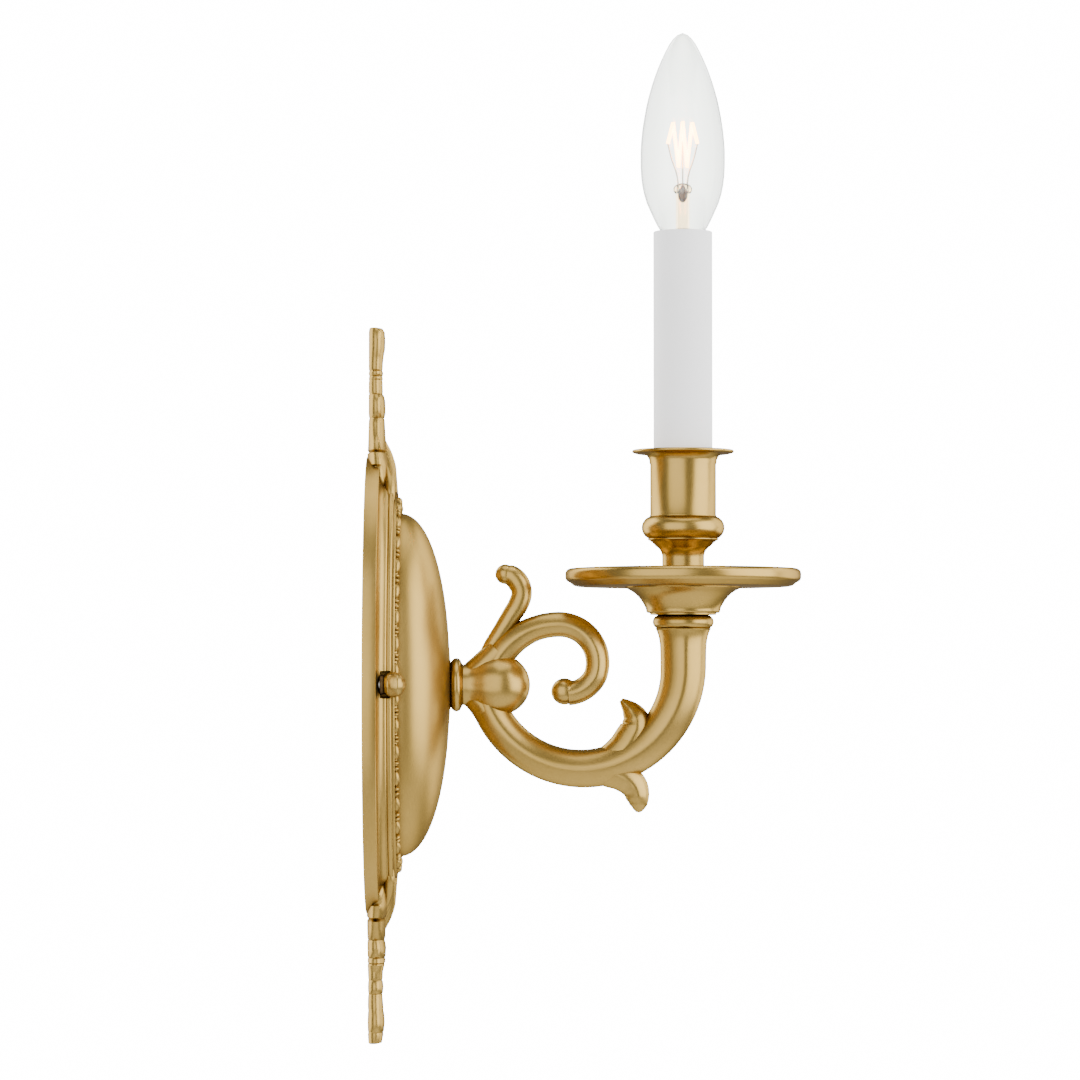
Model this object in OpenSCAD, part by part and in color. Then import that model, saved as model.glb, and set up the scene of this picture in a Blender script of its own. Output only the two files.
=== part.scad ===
/* [Backplate] */
// Height of the whole plate, over both crests
plate_h = 269; // [240:1:300]
// Height of the oval field
oval_h = 172; // [150:1:190]
// Width of the oval field
oval_w = 102; // [98:1:120]
// Depth of the upright rim at the wall
rim_d = 5.2; // [5:0.1:7]
// Depth of the field at the foot of the bead ring
field_d = 10.6; // [10:0.1:13]
// Thickness of the cast web and the field
web_t = 2.5; // [1.8:0.1:3]
// Thickness of the two crests
crest_t = 6.4; // [4:0.1:8]
// Half the width of the crest at its neck
crest_r = 8.5; // [6:0.1:11]

/* [Bead ring and dome] */
// Half height of the bead ring, on its centre line
ring_a = 69; // [66:0.5:72]
// Half width of the bead ring, on its centre line
ring_b = 36.4; // [35:0.2:38]
// Width of the bead ring
ring_w = 7.2; // [5:0.1:8]
// Height of the bead ring above the field
ring_t = 2.8; // [1:0.1:4]
// Depth of the dome in front of the field
dome_d = 20.7; // [16:0.1:26]
// Thickness of the spun dome
dome_t = 1.6; // [1:0.1:2.4]
// Width of the flange behind the web
flange_w = 4.2; // [3:0.1:5]

/* [Wall strap] */
// Distance between the two studs
stud_span = 88; // [86:0.5:90]
// Radius of the studs
stud_r = 2.0; // [1.5:0.1:2.2]
// Thickness of the wall strap
strap_t = 2.0; // [1.5:0.1:2.4]
// Width of the wall strap
strap_w = 16; // [14:0.5:20]
// Distance between the box screws
slot_span = 69.85; // [66:0.05:71]
// Length of the box screw slots
slot_l = 10; // [8:0.5:10]
// Half width of the box screw slots
slot_r = 2.4; // [2:0.1:2.8]

/* [Ball nuts] */
// Radius of the ball nuts
ball_nut_r = 4.6; // [4:0.1:5.5]
// Thickness of the washers under the ball nuts
nut_washer_t = 1.3; // [0.8:0.1:2]
// Radius of the washers under the ball nuts
nut_washer_r = 3.7; // [3:0.1:4.2]

/* [Arm] */
// Distance from the wall to the candle axis
reach = 119; // [110:1:130]
// Radius of the ball boss
boss_r = 11.3; // [10:0.1:13]
// Distance from the wall to the centre of the boss
boss_x = 50.1; // [48:0.1:52]
// Radius of the arm's bend, on its centre line
bend_r = 38; // [36:0.5:42]
// Height of the centre of the bend
bend_z = 6.5; // [4:0.5:8]
// Radius of the arm at its lowest point
arm_r = 6.8; // [6.2:0.1:8]
// Radius of the riser
riser_r = 8.6; // [8:0.1:10]
// Radius of the bead at the arm's tip
tip_bead_r = 11.5; // [10:0.1:13]
// Height of the arm's tip
tip_z = 26.3; // [24:0.1:30]
// Radius of the wire way in the arm
wire_way_r = 3.2; // [3:0.1:3.4]
// Radius of the collar between dome and arm
collar_r = 10.1; // [9:0.1:12]
// Thickness of the collar
collar_t = 4.6; // [3:0.1:6]

/* [Scroll] */
// Radius of the scroll's inner bend, on its centre line
curl_r = 14.4; // [13:0.2:15]
// Radius of the scroll's outer bend, on its centre line
sweep_r = 27.2; // [26:0.2:28]
// Radius of the scroll's round bar
bar_r = 4.6; // [4:0.1:5]
// Height of the leaf tip above the boss
leaf_z = 45.2; // [42:0.2:48]

/* [Pan and cup] */
// Radius of the drip pan
pan_r = 44.4; // [38:0.2:50]
// Radius of the pan's rolled rim
rim_r = 2.75; // [2:0.05:3.5]
// Thickness of the pan's floor
pan_t = 1.6; // [1:0.1:2.5]
// Height of the seat under the pan
seat_h = 9.9; // [8:0.1:13]
// Radius of the cup's barrel
barrel_r = 12.4; // [12.3:0.1:14]
// Radius of the cup's lip
lip_r = 19.2; // [17:0.1:22]
// Height from the pan to the cup's inside floor
cup_floor_h = 30.8; // [28:0.1:34]
// Depth of the cup's inside
cup_depth = 19.5; // [15:0.1:24]
// Radius of the cup's bulge
bulge_r = 15.6; // [14:0.1:17]

/* [Candle, socket and bulb] */
// Radius of the candle sleeve
sleeve_r = 11.1; // [11:0.05:11.2]
// Radius inside the candle sleeve
sleeve_in_r = 10.3; // [10.1:0.05:10.4]
// Length of the candle sleeve
sleeve_h = 101.6; // [90:0.1:115]
// Radius of the nipples
nipple_r = 4.85; // [4.6:0.05:4.95]
// Radius of the hole through the nipples
nipple_in_r = 3.3; // [3.2:0.1:3.6]
// Radius of the bulb's screw base
base_r = 5.95; // [5.6:0.05:6]
// Length of the bulb over all
bulb_l = 98.4; // [90:0.1:106]
// Radius of the bulb's glass
bulb_r = 15.9; // [14:0.1:18]
// Depth of the bulb's foot below the sleeve's top
bulb_sink = 23; // [21:0.1:25]
// Radius of a lead over its insulation
lead_r = 0.95; // [0.8:0.05:1]

/* [Hidden] */
$fn = 64;

gap = 0.15;          // air between pieces of one assembly
free = 0.5;          // air round pieces that move
eps = 0.01;          // overlap that keeps a cut clean
hull_fn = 32;

// Plate
rim_wall = 2.5;
oval_a = oval_h / 2;
oval_b = oval_w / 2;
cove_w = 6.5;
cove_d = field_d - 1.9;
field_a = oval_a - cove_w - 1.6;
field_b = oval_b - cove_w - 1.6;
pocket_d = strap_t + 3.0;
web_x = field_d - web_t;
stud_y = stud_span / 2;
nut_seat_x = pocket_d + 1.6;
crest_top = plate_h / 2;

// Dome
dome_a = ring_a - ring_w / 2 - 0.9;
dome_b = ring_b - ring_w / 2 - 0.9;
dome_x0 = field_d + 1.7;
dome_x1 = field_d + dome_d;
nose_r = collar_r - 0.8;

// Arm line: a bend that starts under the boss and ends under the candle axis, with a run between its halves
bend_x = reach - bend_r;
heel_x = boss_x + bend_r - 7.1;
collar_x0 = dome_x1 + 0.3;
collar_x1 = collar_x0 + collar_t;
nipple_x0 = dome_x1 - dome_t - 9;
nipple_x1 = boss_x - boss_r * 0.75;

// Candle line, upwards
seat_z = tip_z + 0.7;
pan_z = seat_z + seat_h;
cup_z = pan_z + pan_t;
cup_floor_z = cup_z + cup_floor_h;
cup_top_z = cup_floor_z + cup_depth;
sleeve_top_z = cup_floor_z + sleeve_h;
tip_nipple_z0 = tip_z - 13;
tip_nipple_z1 = cup_floor_z + 8.6;
bulb_z0 = sleeve_top_z - bulb_sink;
bulb_z1 = bulb_z0 + bulb_l;
base_l = 17;
shell_in_r = base_r + 0.25;
shell_t = 0.35;
body_z1 = sleeve_top_z - 4;
body_z0 = body_z1 - 34;
body_r = sleeve_in_r - 1.9;

// Bends a ring of points round a route, for the leads
function unit(v) = v / norm(v);
function spline(p, i, t) =
    let (a = p[max(i - 1, 0)], b = p[i], c = p[i + 1], d = p[min(i + 2, len(p) - 1)])
    0.5 * (2 * b + (c - a) * t + (2 * a - 5 * b + 4 * c - d) * t * t + (3 * b - a - 3 * c + d) * t * t * t);
function smooth_route(p, n) = [
    for (i = [0 : len(p) - 2], j = [0 : n - 1]) spline(p, i, j / n),
    p[len(p) - 1]
];
function along(q, i) = unit(q[min(i + 1, len(q) - 1)] - q[max(i - 1, 0)]);
function side_of(t, u) = unit(u - t * (u * t));
function sides(q, i = 0, u = [0, 1, 0.01]) =
    i == len(q) ? [] :
    let (s = side_of(along(q, i), u)) concat([s], sides(q, i + 1, s));

// A round bar along the points q, with its own radius at each
module swept(q, radii, n) {
    s = sides(q);
    rings = [
        for (i = [0 : len(q) - 1], k = [0 : n - 1])
            let (w = cross(along(q, i), s[i]))
            q[i] + radii[i] * (cos(360 * k / n) * s[i] + sin(360 * k / n) * w)
    ];
    last = (len(q) - 1) * n;
    walls = [
        for (i = [0 : len(q) - 2], k = [0 : n - 1])
            [i * n + k, (i + 1) * n + k, (i + 1) * n + (k + 1) % n, i * n + (k + 1) % n]
    ];
    polyhedron(
        rings,
        concat([[for (k = [0 : n - 1]) k]], walls, [[for (k = [n - 1 : -1 : 0]) last + k]]),
        convexity = 6
    );
}

module lead(points, r, steps = 3) {
    q = smooth_route(points, steps);
    swept(q, [for (i = q) r], 8);
}

// Shapes along X
module x_tube(r, x0, x1) {
    translate([x0, 0, 0]) rotate([0, 90, 0]) cylinder(r = r, h = x1 - x0);
}

// An oval disc, its outline worked out point by point
module x_oval(a, b, x0, x1, n = 72) {
    translate([x0, 0, 0]) rotate([0, 90, 0]) linear_extrude(x1 - x0)
        polygon([for (i = [0 : n - 1]) [a * cos(360 * i / n), b * sin(360 * i / n)]]);
}

// A hollow turning, oval from the front: its closed outline is a list of [x, half height, half width]
module x_shell(outline, n = 72) {
    rings = [
        for (p = outline, i = [0 : n - 1])
            [p[0], p[2] * sin(360 * i / n), p[1] * cos(360 * i / n)]
    ];
    rows = len(outline);
    walls = [
        for (j = [0 : rows - 1], i = [0 : n - 1])
            let (k = (j + 1) % rows)
            [j * n + i, j * n + (i + 1) % n, k * n + (i + 1) % n, k * n + i]
    ];
    polyhedron(rings, walls, convexity = 6);
}

// A round-topped oval boss: an upright wall from x0 to x1, then a dome up to x2
module x_dome(a, b, x0, x1, x2, power = 0.91, n = 48, rows = 8) {
    levels = [for (j = [0 : rows - 1]) 90 * j / rows];
    rings = concat(
        [for (i = [0 : n - 1]) [x0, b * sin(360 * i / n), a * cos(360 * i / n)]],
        [
            for (t = levels, i = [0 : n - 1])
                let (s = pow(cos(t), power))
                [x1 + (x2 - x1) * pow(sin(t), power), b * s * sin(360 * i / n), a * s * cos(360 * i / n)]
        ]
    );
    top = len(rings);
    walls = [
        for (j = [0 : rows - 1], i = [0 : n - 1])
            [j * n + i, j * n + (i + 1) % n, (j + 1) * n + (i + 1) % n, (j + 1) * n + i]
    ];
    polyhedron(
        concat(rings, [[x2, 0, 0], [x0, 0, 0]]),
        concat(
            walls,
            [for (i = [0 : n - 1]) [rows * n + i, rows * n + (i + 1) % n, top]],
            [for (i = [0 : n - 1]) [(i + 1) % n, i, top + 1]]
        ),
        convexity = 4
    );
}

module hex(across, h) {
    cylinder(r = across / 2 / cos(30), h = h, $fn = 6);
}

module x_hex(across, x0, x1) {
    translate([x0, 0, 0]) rotate([0, 90, 0]) hex(across, x1 - x0);
}

module on_candle_axis() {
    translate([reach, 0, 0]) children();
}

module z_tube(r, z0, z1) {
    translate([0, 0, z0]) cylinder(r = r, h = z1 - z0);
}

module at_studs() {
    for (side = [-1, 1]) translate([0, side * stud_y, 0]) children();
}

// A round bar bent in the upright plane, from angle a0 to a1, seen from the side
module bent_bar(centre_x, centre_z, line_r, tube_r, a0, a1) {
    translate([centre_x, 0, centre_z]) rotate([90, 0, 0])
        rotate([0, 0, a0]) rotate_extrude(angle = a1 - a0) translate([line_r, 0]) circle(r = tube_r);
}

// Wall strap
module strap_outline() {
    half = stud_y + 3.4 - strap_w / 2;
    for (side = [-1, 1]) translate([0, side * half]) circle(d = strap_w);
    square([strap_w, 2 * half], center = true);
}

module slot_outline() {
    half = slot_l / 2 - slot_r;
    for (side = [-1, 1]) translate([0, side * half]) circle(r = slot_r);
    square([2 * slot_r, 2 * half], center = true);
}

module crossbar() {
    color("silver") rotate([0, 90, 0]) linear_extrude(strap_t) difference() {
        strap_outline();
        circle(r = 5.4);
        for (side = [-1, 1]) {
            translate([0, side * slot_span / 2]) slot_outline();
            translate([0, side * stud_y]) circle(r = stud_r);
        }
        translate([0, 14]) circle(r = 1.9);
    }
}

module plate_studs() {
    color("silver") at_studs() x_tube(stud_r, 0, nut_seat_x + nut_washer_t + 5.2);
}

module stud_nuts() {
    color("silver") at_studs() difference() {
        x_hex(7, strap_t, pocket_d - 0.6);
        x_tube(stud_r, 0, pocket_d);
    }
}

module ground_screw() {
    color("green") translate([0, 14, 0]) {
        x_tube(1.9, 0, strap_t + 1);
        difference() {
            x_hex(7, strap_t + 0.9, strap_t + 3.4);
            translate([strap_t + 2.8, 0, 0]) cube([2, 1, 9], center = true);
        }
    }
}

// Backplate
module crest_boss(a, b, depth) {
    x_dome(a, b, 1, crest_t - 1.5, depth, n = 24, rows = 4);
}

module crest_half() {
    stem_h = crest_top - oval_a;
    husk_z = oval_a + stem_h * 0.32;
    bead_z = oval_a + stem_h * 0.56;
    leaf_mid = oval_a + stem_h * 0.82;
    translate([0, 0, oval_a - 7]) rotate([90, 0, 90]) linear_extrude(crest_t)
        polygon([
            [-crest_r * 2.4, -3], [crest_r * 2.4, -3], [crest_r * 1.9, 7], [crest_r, 12],
            [crest_r * 0.8, stem_h * 0.6], [crest_r * 0.7, stem_h + 2], [crest_r * 0.3, stem_h + 7],
            [-crest_r * 0.3, stem_h + 7], [-crest_r * 0.7, stem_h + 2], [-crest_r * 0.8, stem_h * 0.6],
            [-crest_r, 12], [-crest_r * 1.9, 7]
        ]);
    translate([0, 0, husk_z]) crest_boss(6.5, crest_r, crest_t + 1.6);
    translate([0, 0, bead_z]) crest_boss(3.4, crest_r * 0.85, crest_t + 1.2);
    translate([0, 0, leaf_mid]) crest_boss(7.2, crest_r * 0.9, crest_t + 1);
    translate([0, 0, oval_a - 8]) crest_boss(8.4, crest_r * 2, field_d);
}

module plate_field() {
    opening_a = dome_a + gap;
    opening_b = dome_b + gap;
    x_shell([
        [0, oval_a, oval_b], [rim_d, oval_a, oval_b],
        [rim_d + 0.5 * (cove_d - rim_d), oval_a - 0.62 * cove_w, oval_b - 0.62 * cove_w],
        [cove_d, oval_a - cove_w, oval_b - cove_w], [cove_d, field_a, field_b],
        [field_d, field_a, field_b], [field_d, opening_a, opening_b], [web_x, opening_a, opening_b],
        [web_x, field_a - web_t, field_b - web_t], [pocket_d, field_a - web_t, field_b - web_t],
        [pocket_d, oval_a - rim_wall, oval_b - rim_wall], [0, oval_a - rim_wall, oval_b - rim_wall]
    ]);
}

module backplate() {
    color("darkgoldenrod") difference() {
        union() {
            plate_field();
            crest_half();
            mirror([0, 0, 1]) crest_half();
            at_studs() x_tube(ball_nut_r + 1.2, pocket_d, nut_seat_x);
        }
        at_studs() {
            x_tube(ball_nut_r + free, nut_seat_x, field_d + 1);
            x_tube(stud_r + 0.4, 0, field_d);
            x_tube(nut_washer_r + 1.5, -1, pocket_d);
        }
    }
}

module bead_ring() {
    a = ring_a + ring_w / 2;
    b = ring_b + ring_w / 2;
    color("goldenrod") difference() {
        union() {
            x_oval(a, b, field_d, field_d + ring_t * 0.4);
            x_oval(a - 0.9, b - 0.9, field_d, field_d + ring_t);
        }
        x_oval(a - ring_w, b - ring_w, 0, field_d + ring_t + 1);
        at_studs() x_tube(ball_nut_r + free, field_d - 1, field_d + ring_t + 1);
    }
}

// Rows of the rounded dome from its wall to its nose, a given thickness inside the outer skin
function dome_rows(inset) = [
    for (t = [0 : 10 : 80])
        let (s = pow(cos(t), 0.91), up = pow(sin(t), 0.91))
        [dome_x0 + (dome_x1 - inset - dome_x0) * up, (dome_a - inset) * s, (dome_b - inset) * s]
];

function backwards(list) = [for (i = [len(list) - 1 : -1 : 0]) list[i]];

module dome() {
    hole = nipple_r + gap;
    back = web_x - dome_t;
    color("goldenrod") x_shell(concat(
        [
            [back, dome_a + flange_w, dome_b + flange_w], [web_x, dome_a + flange_w, dome_b + flange_w],
            [web_x, dome_a, dome_b]
        ],
        dome_rows(0),
        [[dome_x1, nose_r, nose_r], [dome_x1 + 0.3, nose_r, nose_r], [dome_x1 + 0.3, hole, hole],
            [dome_x1 - dome_t, hole, hole], [dome_x1 - dome_t, nose_r, nose_r]],
        backwards(dome_rows(dome_t)),
        [[back, dome_a - dome_t, dome_b - dome_t]]
    ), n = 48);
}

// Arm and what clamps it
module arm_nipple() {
    color("silver") difference() {
        x_tube(nipple_r, nipple_x0, nipple_x1);
        x_tube(nipple_in_r, nipple_x0 - 1, nipple_x1 + 1);
    }
}

module nipple_washer() {
    color("silver") difference() {
        x_tube(nipple_r + 1.2, dome_x1 - dome_t - 1, dome_x1 - dome_t);
        x_tube(nipple_r + gap, nipple_x0, dome_x1);
    }
}

module nipple_nut() {
    nut_x = dome_x1 - dome_t - 1;
    color("silver") difference() {
        x_hex(14, nut_x - 3.6, nut_x);
        x_tube(nipple_r, nipple_x0, dome_x1);
    }
}

module arm_collar() {
    round_r = collar_t / 2;
    color("goldenrod") difference() {
        union() {
            translate([collar_x0 + round_r, 0, 0]) rotate([0, 90, 0])
                rotate_extrude() translate([collar_r - round_r, 0]) circle(r = round_r);
            x_tube(collar_r - round_r, collar_x0, collar_x1);
        }
        x_tube(nipple_r + gap, collar_x0 - 1, collar_x1 + 1);
    }
}

// The bar grows from its lowest point to the riser, which stands under the candle
module arm_bend() {
    turns = [for (a = [200 : 6.4 : 360]) a];
    straight = [for (z = [bend_z + 4 : 4 : tip_z - 6]) z];
    q = concat(
        [for (a = turns) [(a < 270 ? heel_x : bend_x) + bend_r * cos(a), 0, bend_z + bend_r * sin(a)]],
        [for (z = straight) [reach, 0, z]]
    );
    radii = concat(
        [for (a = turns) arm_r + (riser_r - arm_r) * pow((a - 200) / 160, 2)],
        [for (z = straight) riser_r]
    );
    swept(q, radii, 24);
}

module arm_leaves() {
    // two leaves of the calyx round the bend, inside and outside
    translate([bend_x, 0, bend_z]) rotate([90, 0, 0]) {
        hull() {
            rotate([0, 0, 290]) translate([bend_r - 4, 0, 0]) sphere(r = 5, $fn = hull_fn);
            rotate([0, 0, 306]) translate([bend_r - 9, 0, 0]) sphere(r = 3.4, $fn = hull_fn);
            rotate([0, 0, 323]) translate([bend_r - 13, 0, 0]) sphere(r = 1.8, $fn = hull_fn);
        }
        hull() {
            rotate([0, 0, 282]) translate([bend_r + 4, 0, 0]) sphere(r = 5, $fn = hull_fn);
            rotate([0, 0, 290]) translate([bend_r + 11, 0, 0]) sphere(r = 3.6, $fn = hull_fn);
            rotate([0, 0, 291]) translate([bend_r + 19, 0, 0]) sphere(r = 1.8, $fn = hull_fn);
        }
    }
}

module riser() {
    bead_h = 2.65;
    on_candle_axis() {
        z_tube(riser_r + 0.2, bend_z + 8, tip_z - 2 * bead_h + 0.5);
        translate([0, 0, tip_z - bead_h]) rotate_extrude()
            translate([tip_bead_r - bead_h, 0]) circle(r = bead_h);
        z_tube(tip_bead_r - bead_h, tip_z - 2 * bead_h, tip_z);
    }
}

module arm() {
    color("goldenrod") difference() {
        union() {
            translate([boss_x, 0, 0]) rotate([90, 0, 0]) sphere(r = boss_r);
            translate([collar_x1, 0, 0]) rotate([0, 90, 0])
                cylinder(r1 = collar_r - 2.2, r2 = boss_r * 0.9, h = boss_x - 4 - collar_x1);
            arm_bend();
            arm_leaves();
            riser();
        }
        x_tube(nipple_r, collar_x1 - 1, nipple_x1);
        x_tube(wire_way_r, collar_x1 - 1, heel_x - bend_r + 1.5);
        bent_bar(heel_x, bend_z, bend_r, wire_way_r, 189, 271);
        bent_bar(bend_x, bend_z, bend_r, wire_way_r + 0.05, 269, 360);
        translate([min(heel_x, bend_x), 0, bend_z - bend_r]) rotate([0, 90, 0])
            cylinder(r = wire_way_r - 0.05, h = abs(bend_x - heel_x) + 1);
        on_candle_axis() {
            z_tube(wire_way_r + 0.3, bend_z - 0.5, tip_z + 1);
            z_tube(nipple_r, tip_nipple_z0, tip_z + 1);
        }
    }
}

// Scroll and leaf on the boss
scroll_x = boss_x + 22.3;
scroll_z = 8.3;
sweep_z = scroll_z + curl_r - sweep_r;
foot_angle = 148;

module scroll_bar() {
    bent_bar(scroll_x, scroll_z, curl_r, bar_r, -75, 91);
    bent_bar(scroll_x, sweep_z, sweep_r, bar_r + 0.4, 89, foot_angle - 12);
    bent_bar(scroll_x, sweep_z, sweep_r, bar_r + 1.2, foot_angle - 16, foot_angle + 8);
    translate([scroll_x + 1, 0, scroll_z - curl_r + 3.8]) sphere(r = bar_r + 0.3);
}

module scroll_leaf() {
    tip_x = boss_x + 1.5;
    knee = [tip_x + 5, 0, scroll_z + 27];
    hull() {
        translate([tip_x + 5, 0, scroll_z + 15]) sphere(r = 4, $fn = hull_fn);
        translate(knee) scale([1, 1.4, 1]) sphere(r = 3.6, $fn = hull_fn);
    }
    hull() {
        translate(knee) scale([1, 1.4, 1]) sphere(r = 3.6, $fn = hull_fn);
        translate([tip_x, 0, leaf_z - 3.2]) scale([1, 1.4, 1]) sphere(r = 3, $fn = hull_fn);
    }
}

module scroll() {
    color("goldenrod") {
        difference() {
            scroll_bar();
            translate([boss_x, 0, 0]) sphere(r = boss_r);
        }
        scroll_leaf();
    }
}

// Candle line
module tip_nipple() {
    color("silver") on_candle_axis() difference() {
        z_tube(nipple_r, tip_nipple_z0, tip_nipple_z1);
        z_tube(nipple_in_r, tip_nipple_z0 - 1, tip_nipple_z1 + 1);
    }
}

module bobeche_seat() {
    foot_r = 13.9;
    top_r = 21.8;
    flare_r = top_r - foot_r;
    color("goldenrod") on_candle_axis() difference() {
        union() {
            z_tube(foot_r - 1.2, tip_z, seat_z + eps);
            z_tube(foot_r, seat_z, pan_z - flare_r + eps);
            difference() {
                z_tube(top_r, pan_z - flare_r, pan_z);
                translate([0, 0, pan_z - flare_r]) rotate_extrude()
                    translate([top_r + 0.01, 0]) circle(r = flare_r);
            }
            z_tube(top_r, pan_z - 0.9, pan_z);
        }
        z_tube(nipple_r + gap, tip_z - 1, pan_z + 1);
    }
}

module bobeche() {
    rim_z = pan_z + pan_t + rim_r;
    color("goldenrod") on_candle_axis() difference() {
        union() {
            z_tube(pan_r - rim_r, pan_z, pan_z + pan_t);
            translate([0, 0, rim_z - 0.2]) rotate_extrude()
                translate([pan_r - rim_r, 0]) circle(r = rim_r);
        }
        z_tube(nipple_r + gap, pan_z - 1, pan_z + pan_t + 1);
    }
}

module cup_form() {
    neck_r = 7.9;
    bulge_z = cup_z + 20.6;
    bulge_h = 4.5;
    z_tube(neck_r, cup_z, bulge_z);
    translate([0, 0, cup_z]) cylinder(r1 = 12, r2 = neck_r, h = 5);
    translate([0, 0, bulge_z - 9.5]) cylinder(r1 = neck_r, r2 = barrel_r, h = 5);
    translate([0, 0, bulge_z]) rotate_extrude() translate([bulge_r - bulge_h, 0]) circle(r = bulge_h);
    z_tube(bulge_r - bulge_h, bulge_z - bulge_h, bulge_z + bulge_h);
    z_tube(barrel_r, bulge_z, cup_top_z - 4);
    translate([0, 0, cup_top_z - 5.5]) cylinder(r1 = barrel_r, r2 = barrel_r + 1.2, h = 2);
    translate([0, 0, cup_top_z - 3.5]) cylinder(r1 = barrel_r + 1.2, r2 = lip_r, h = 2);
    z_tube(lip_r, cup_top_z - 1.5, cup_top_z);
}

module candle_cup() {
    lip_in_r = lip_r - 1;
    color("goldenrod") on_candle_axis() difference() {
        cup_form();
        z_tube(sleeve_r + free, cup_floor_z, cup_top_z + 1);
        translate([0, 0, cup_top_z - 2.4])
            cylinder(r1 = sleeve_r + free, r2 = lip_in_r, h = 2.4 + eps);
        z_tube(nipple_r + gap, cup_z - 1, cup_floor_z + 1);
    }
}

module cup_nut() {
    color("silver") on_candle_axis() difference() {
        translate([0, 0, cup_floor_z]) hex(14, 3.2);
        z_tube(nipple_r, cup_floor_z - 1, cup_floor_z + 9);
    }
}

module socket_bracket() {
    hub_z = cup_floor_z + 3.2;
    leg_r = body_r + 0.1;
    color("silver") on_candle_axis() difference() {
        union() {
            z_tube(body_r, hub_z, hub_z + 1.4);
            z_tube(nipple_r + 1.9, hub_z, tip_nipple_z1 - 0.3);
            intersection() {
                translate([-3, 0, hub_z]) cube([6, leg_r + 0.9, body_z0 + 12 - hub_z]);
                difference() {
                    z_tube(leg_r + 0.9, hub_z, body_z0 + 13);
                    z_tube(leg_r, hub_z + 1.4, body_z0 + 14);
                }
            }
        }
        z_tube(nipple_r, hub_z - 1, tip_nipple_z1 + 1);
    }
}

module socket_body() {
    color("dimgray") on_candle_axis() difference() {
        union() {
            z_tube(body_r, body_z0 + 9, body_z1);
            z_tube(body_r - 0.6, body_z0, body_z0 + 9);
        }
        z_tube(shell_in_r + shell_t, bulb_z0 - 1.2, body_z1 + 1);
        for (side = [-1, 1]) {
            translate([side * (body_r + 3), 0, body_z0 + 3]) cube([9, 10, 9], center = true);
            translate([side * (body_r - 3.6), 0, body_z0 + 3]) rotate([0, side * 90, 0])
                cylinder(r = 1.1, h = 3);
        }
        z_tube(1.4, body_z0 - 1, body_z1);
    }
}

module socket_shell() {
    color("gold") on_candle_axis() difference() {
        z_tube(shell_in_r + shell_t, bulb_z0 + 0.4, body_z1 - 0.6);
        z_tube(shell_in_r, bulb_z0, body_z1);
    }
}

module socket_contact() {
    color("gold") on_candle_axis() {
        z_tube(1.4, body_z0 + 6, bulb_z0 - 1);
        z_tube(2.2, bulb_z0 - 1.2, bulb_z0 - 0.4);
    }
}

module terminal_screws() {
    color("gold") on_candle_axis() for (side = [-1, 1])
        translate([side * (body_r - 1.5), 0, body_z0 + 3]) rotate([0, side * 90, 0]) difference() {
            union() {
                cylinder(r = 1.9, h = 1.4);
                translate([0, 0, -2]) cylinder(r = 1, h = 2.4);
            }
            translate([0, 0, 1.3]) cube([6, 0.6, 0.8], center = true);
        }
}

// Leads run from the socket through both nipples and the arm into the dome
function bend_points(y, dr) = [
    for (a = [200 : 20 : 350])
        [(a < 270 ? heel_x : bend_x) + (bend_r + dr) * cos(a), y, bend_z + (bend_r + dr) * sin(a)]
];

function lead_route(side, end) = concat(
    end,
    [
        [nipple_x0 - 2, side * 1.15, 0.6],
        [nipple_x0 + 10, side * 1.15, 0.6],
        [heel_x - bend_r - 1.5, side * 1.15, 0.4]
    ],
    bend_points(side * 1.15, -0.6),
    [
        [reach - 0.6, side * 1.15, bend_z + 8],
        [reach - 0.6, side * 1.15, tip_nipple_z1 - 4],
        [reach - 0.6, side * 1.15, tip_nipple_z1 + 2],
        [reach + side * 3.4, side * 1.6, tip_nipple_z1 + 14],
        [reach + side * 3.4, side * 1.6, body_z0 - 16],
        [reach + side * 6.2, side * 2.4, body_z0 - 5],
        [reach + side * (body_r - 0.1), side * 3.6, body_z0 + 0.6]
    ]
);

connector_x = 14;
connector_y = 13;
connector_z = 16;

function connector_end(side) = [
    [connector_x, side * connector_y, side * (connector_z + 8)],
    [connector_x, side * connector_y, side * connector_z],
    [connector_x + 1, side * (connector_y - 1), side * (connector_z - 7)],
    [connector_x + 4, side * 5, side * 3]
];

module hot_lead() {
    color("black") lead(lead_route(1, connector_end(1)), lead_r);
}

module neutral_lead() {
    color("white") lead(lead_route(-1, connector_end(-1)), lead_r);
}

module ground_lead() {
    route = concat(
        [
            [strap_t + 1.7, 14, -4.8],
            [strap_t + 1.9, 9, -8],
            [9, 4, -9],
            [nipple_x0 - 4, 0.5, -4],
            [nipple_x0 - 1, 0, -1.9],
            [nipple_x0 + 9, 0, -1.9],
            [heel_x - bend_r - 1, 0, -1.9]
        ],
        bend_points(0, 1.9),
        [
            [reach + 1.9, 0, bend_z + 8],
            [reach + 1.9, 0, tip_nipple_z1 - 3],
            [reach + 2.2, 1.4, tip_nipple_z1 + 1.6],
            [reach + 1.6, body_r - 2.4, tip_nipple_z1 + 8]
        ]
    );
    color("peru") lead(route, lead_r * 0.75);
}

module wire_connectors() {
    color("orange") for (side = [-1, 1])
        translate([connector_x, side * connector_y, side * connector_z]) rotate([side > 0 ? 0 : 180, 0, 0])
            difference() {
                cylinder(r1 = 4.6, r2 = 3, h = 17);
                translate([0, 0, -1]) cylinder(r = lead_r + 0.4, h = 12);
            }
}

module candle_sleeve() {
    color("ivory") on_candle_axis() difference() {
        z_tube(sleeve_r, cup_floor_z, sleeve_top_z);
        z_tube(sleeve_in_r, cup_floor_z - 1, sleeve_top_z + 1);
    }
}

// Bulb
glass_z0 = bulb_z0 + base_l;
neck_r = base_r - 0.5;

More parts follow.
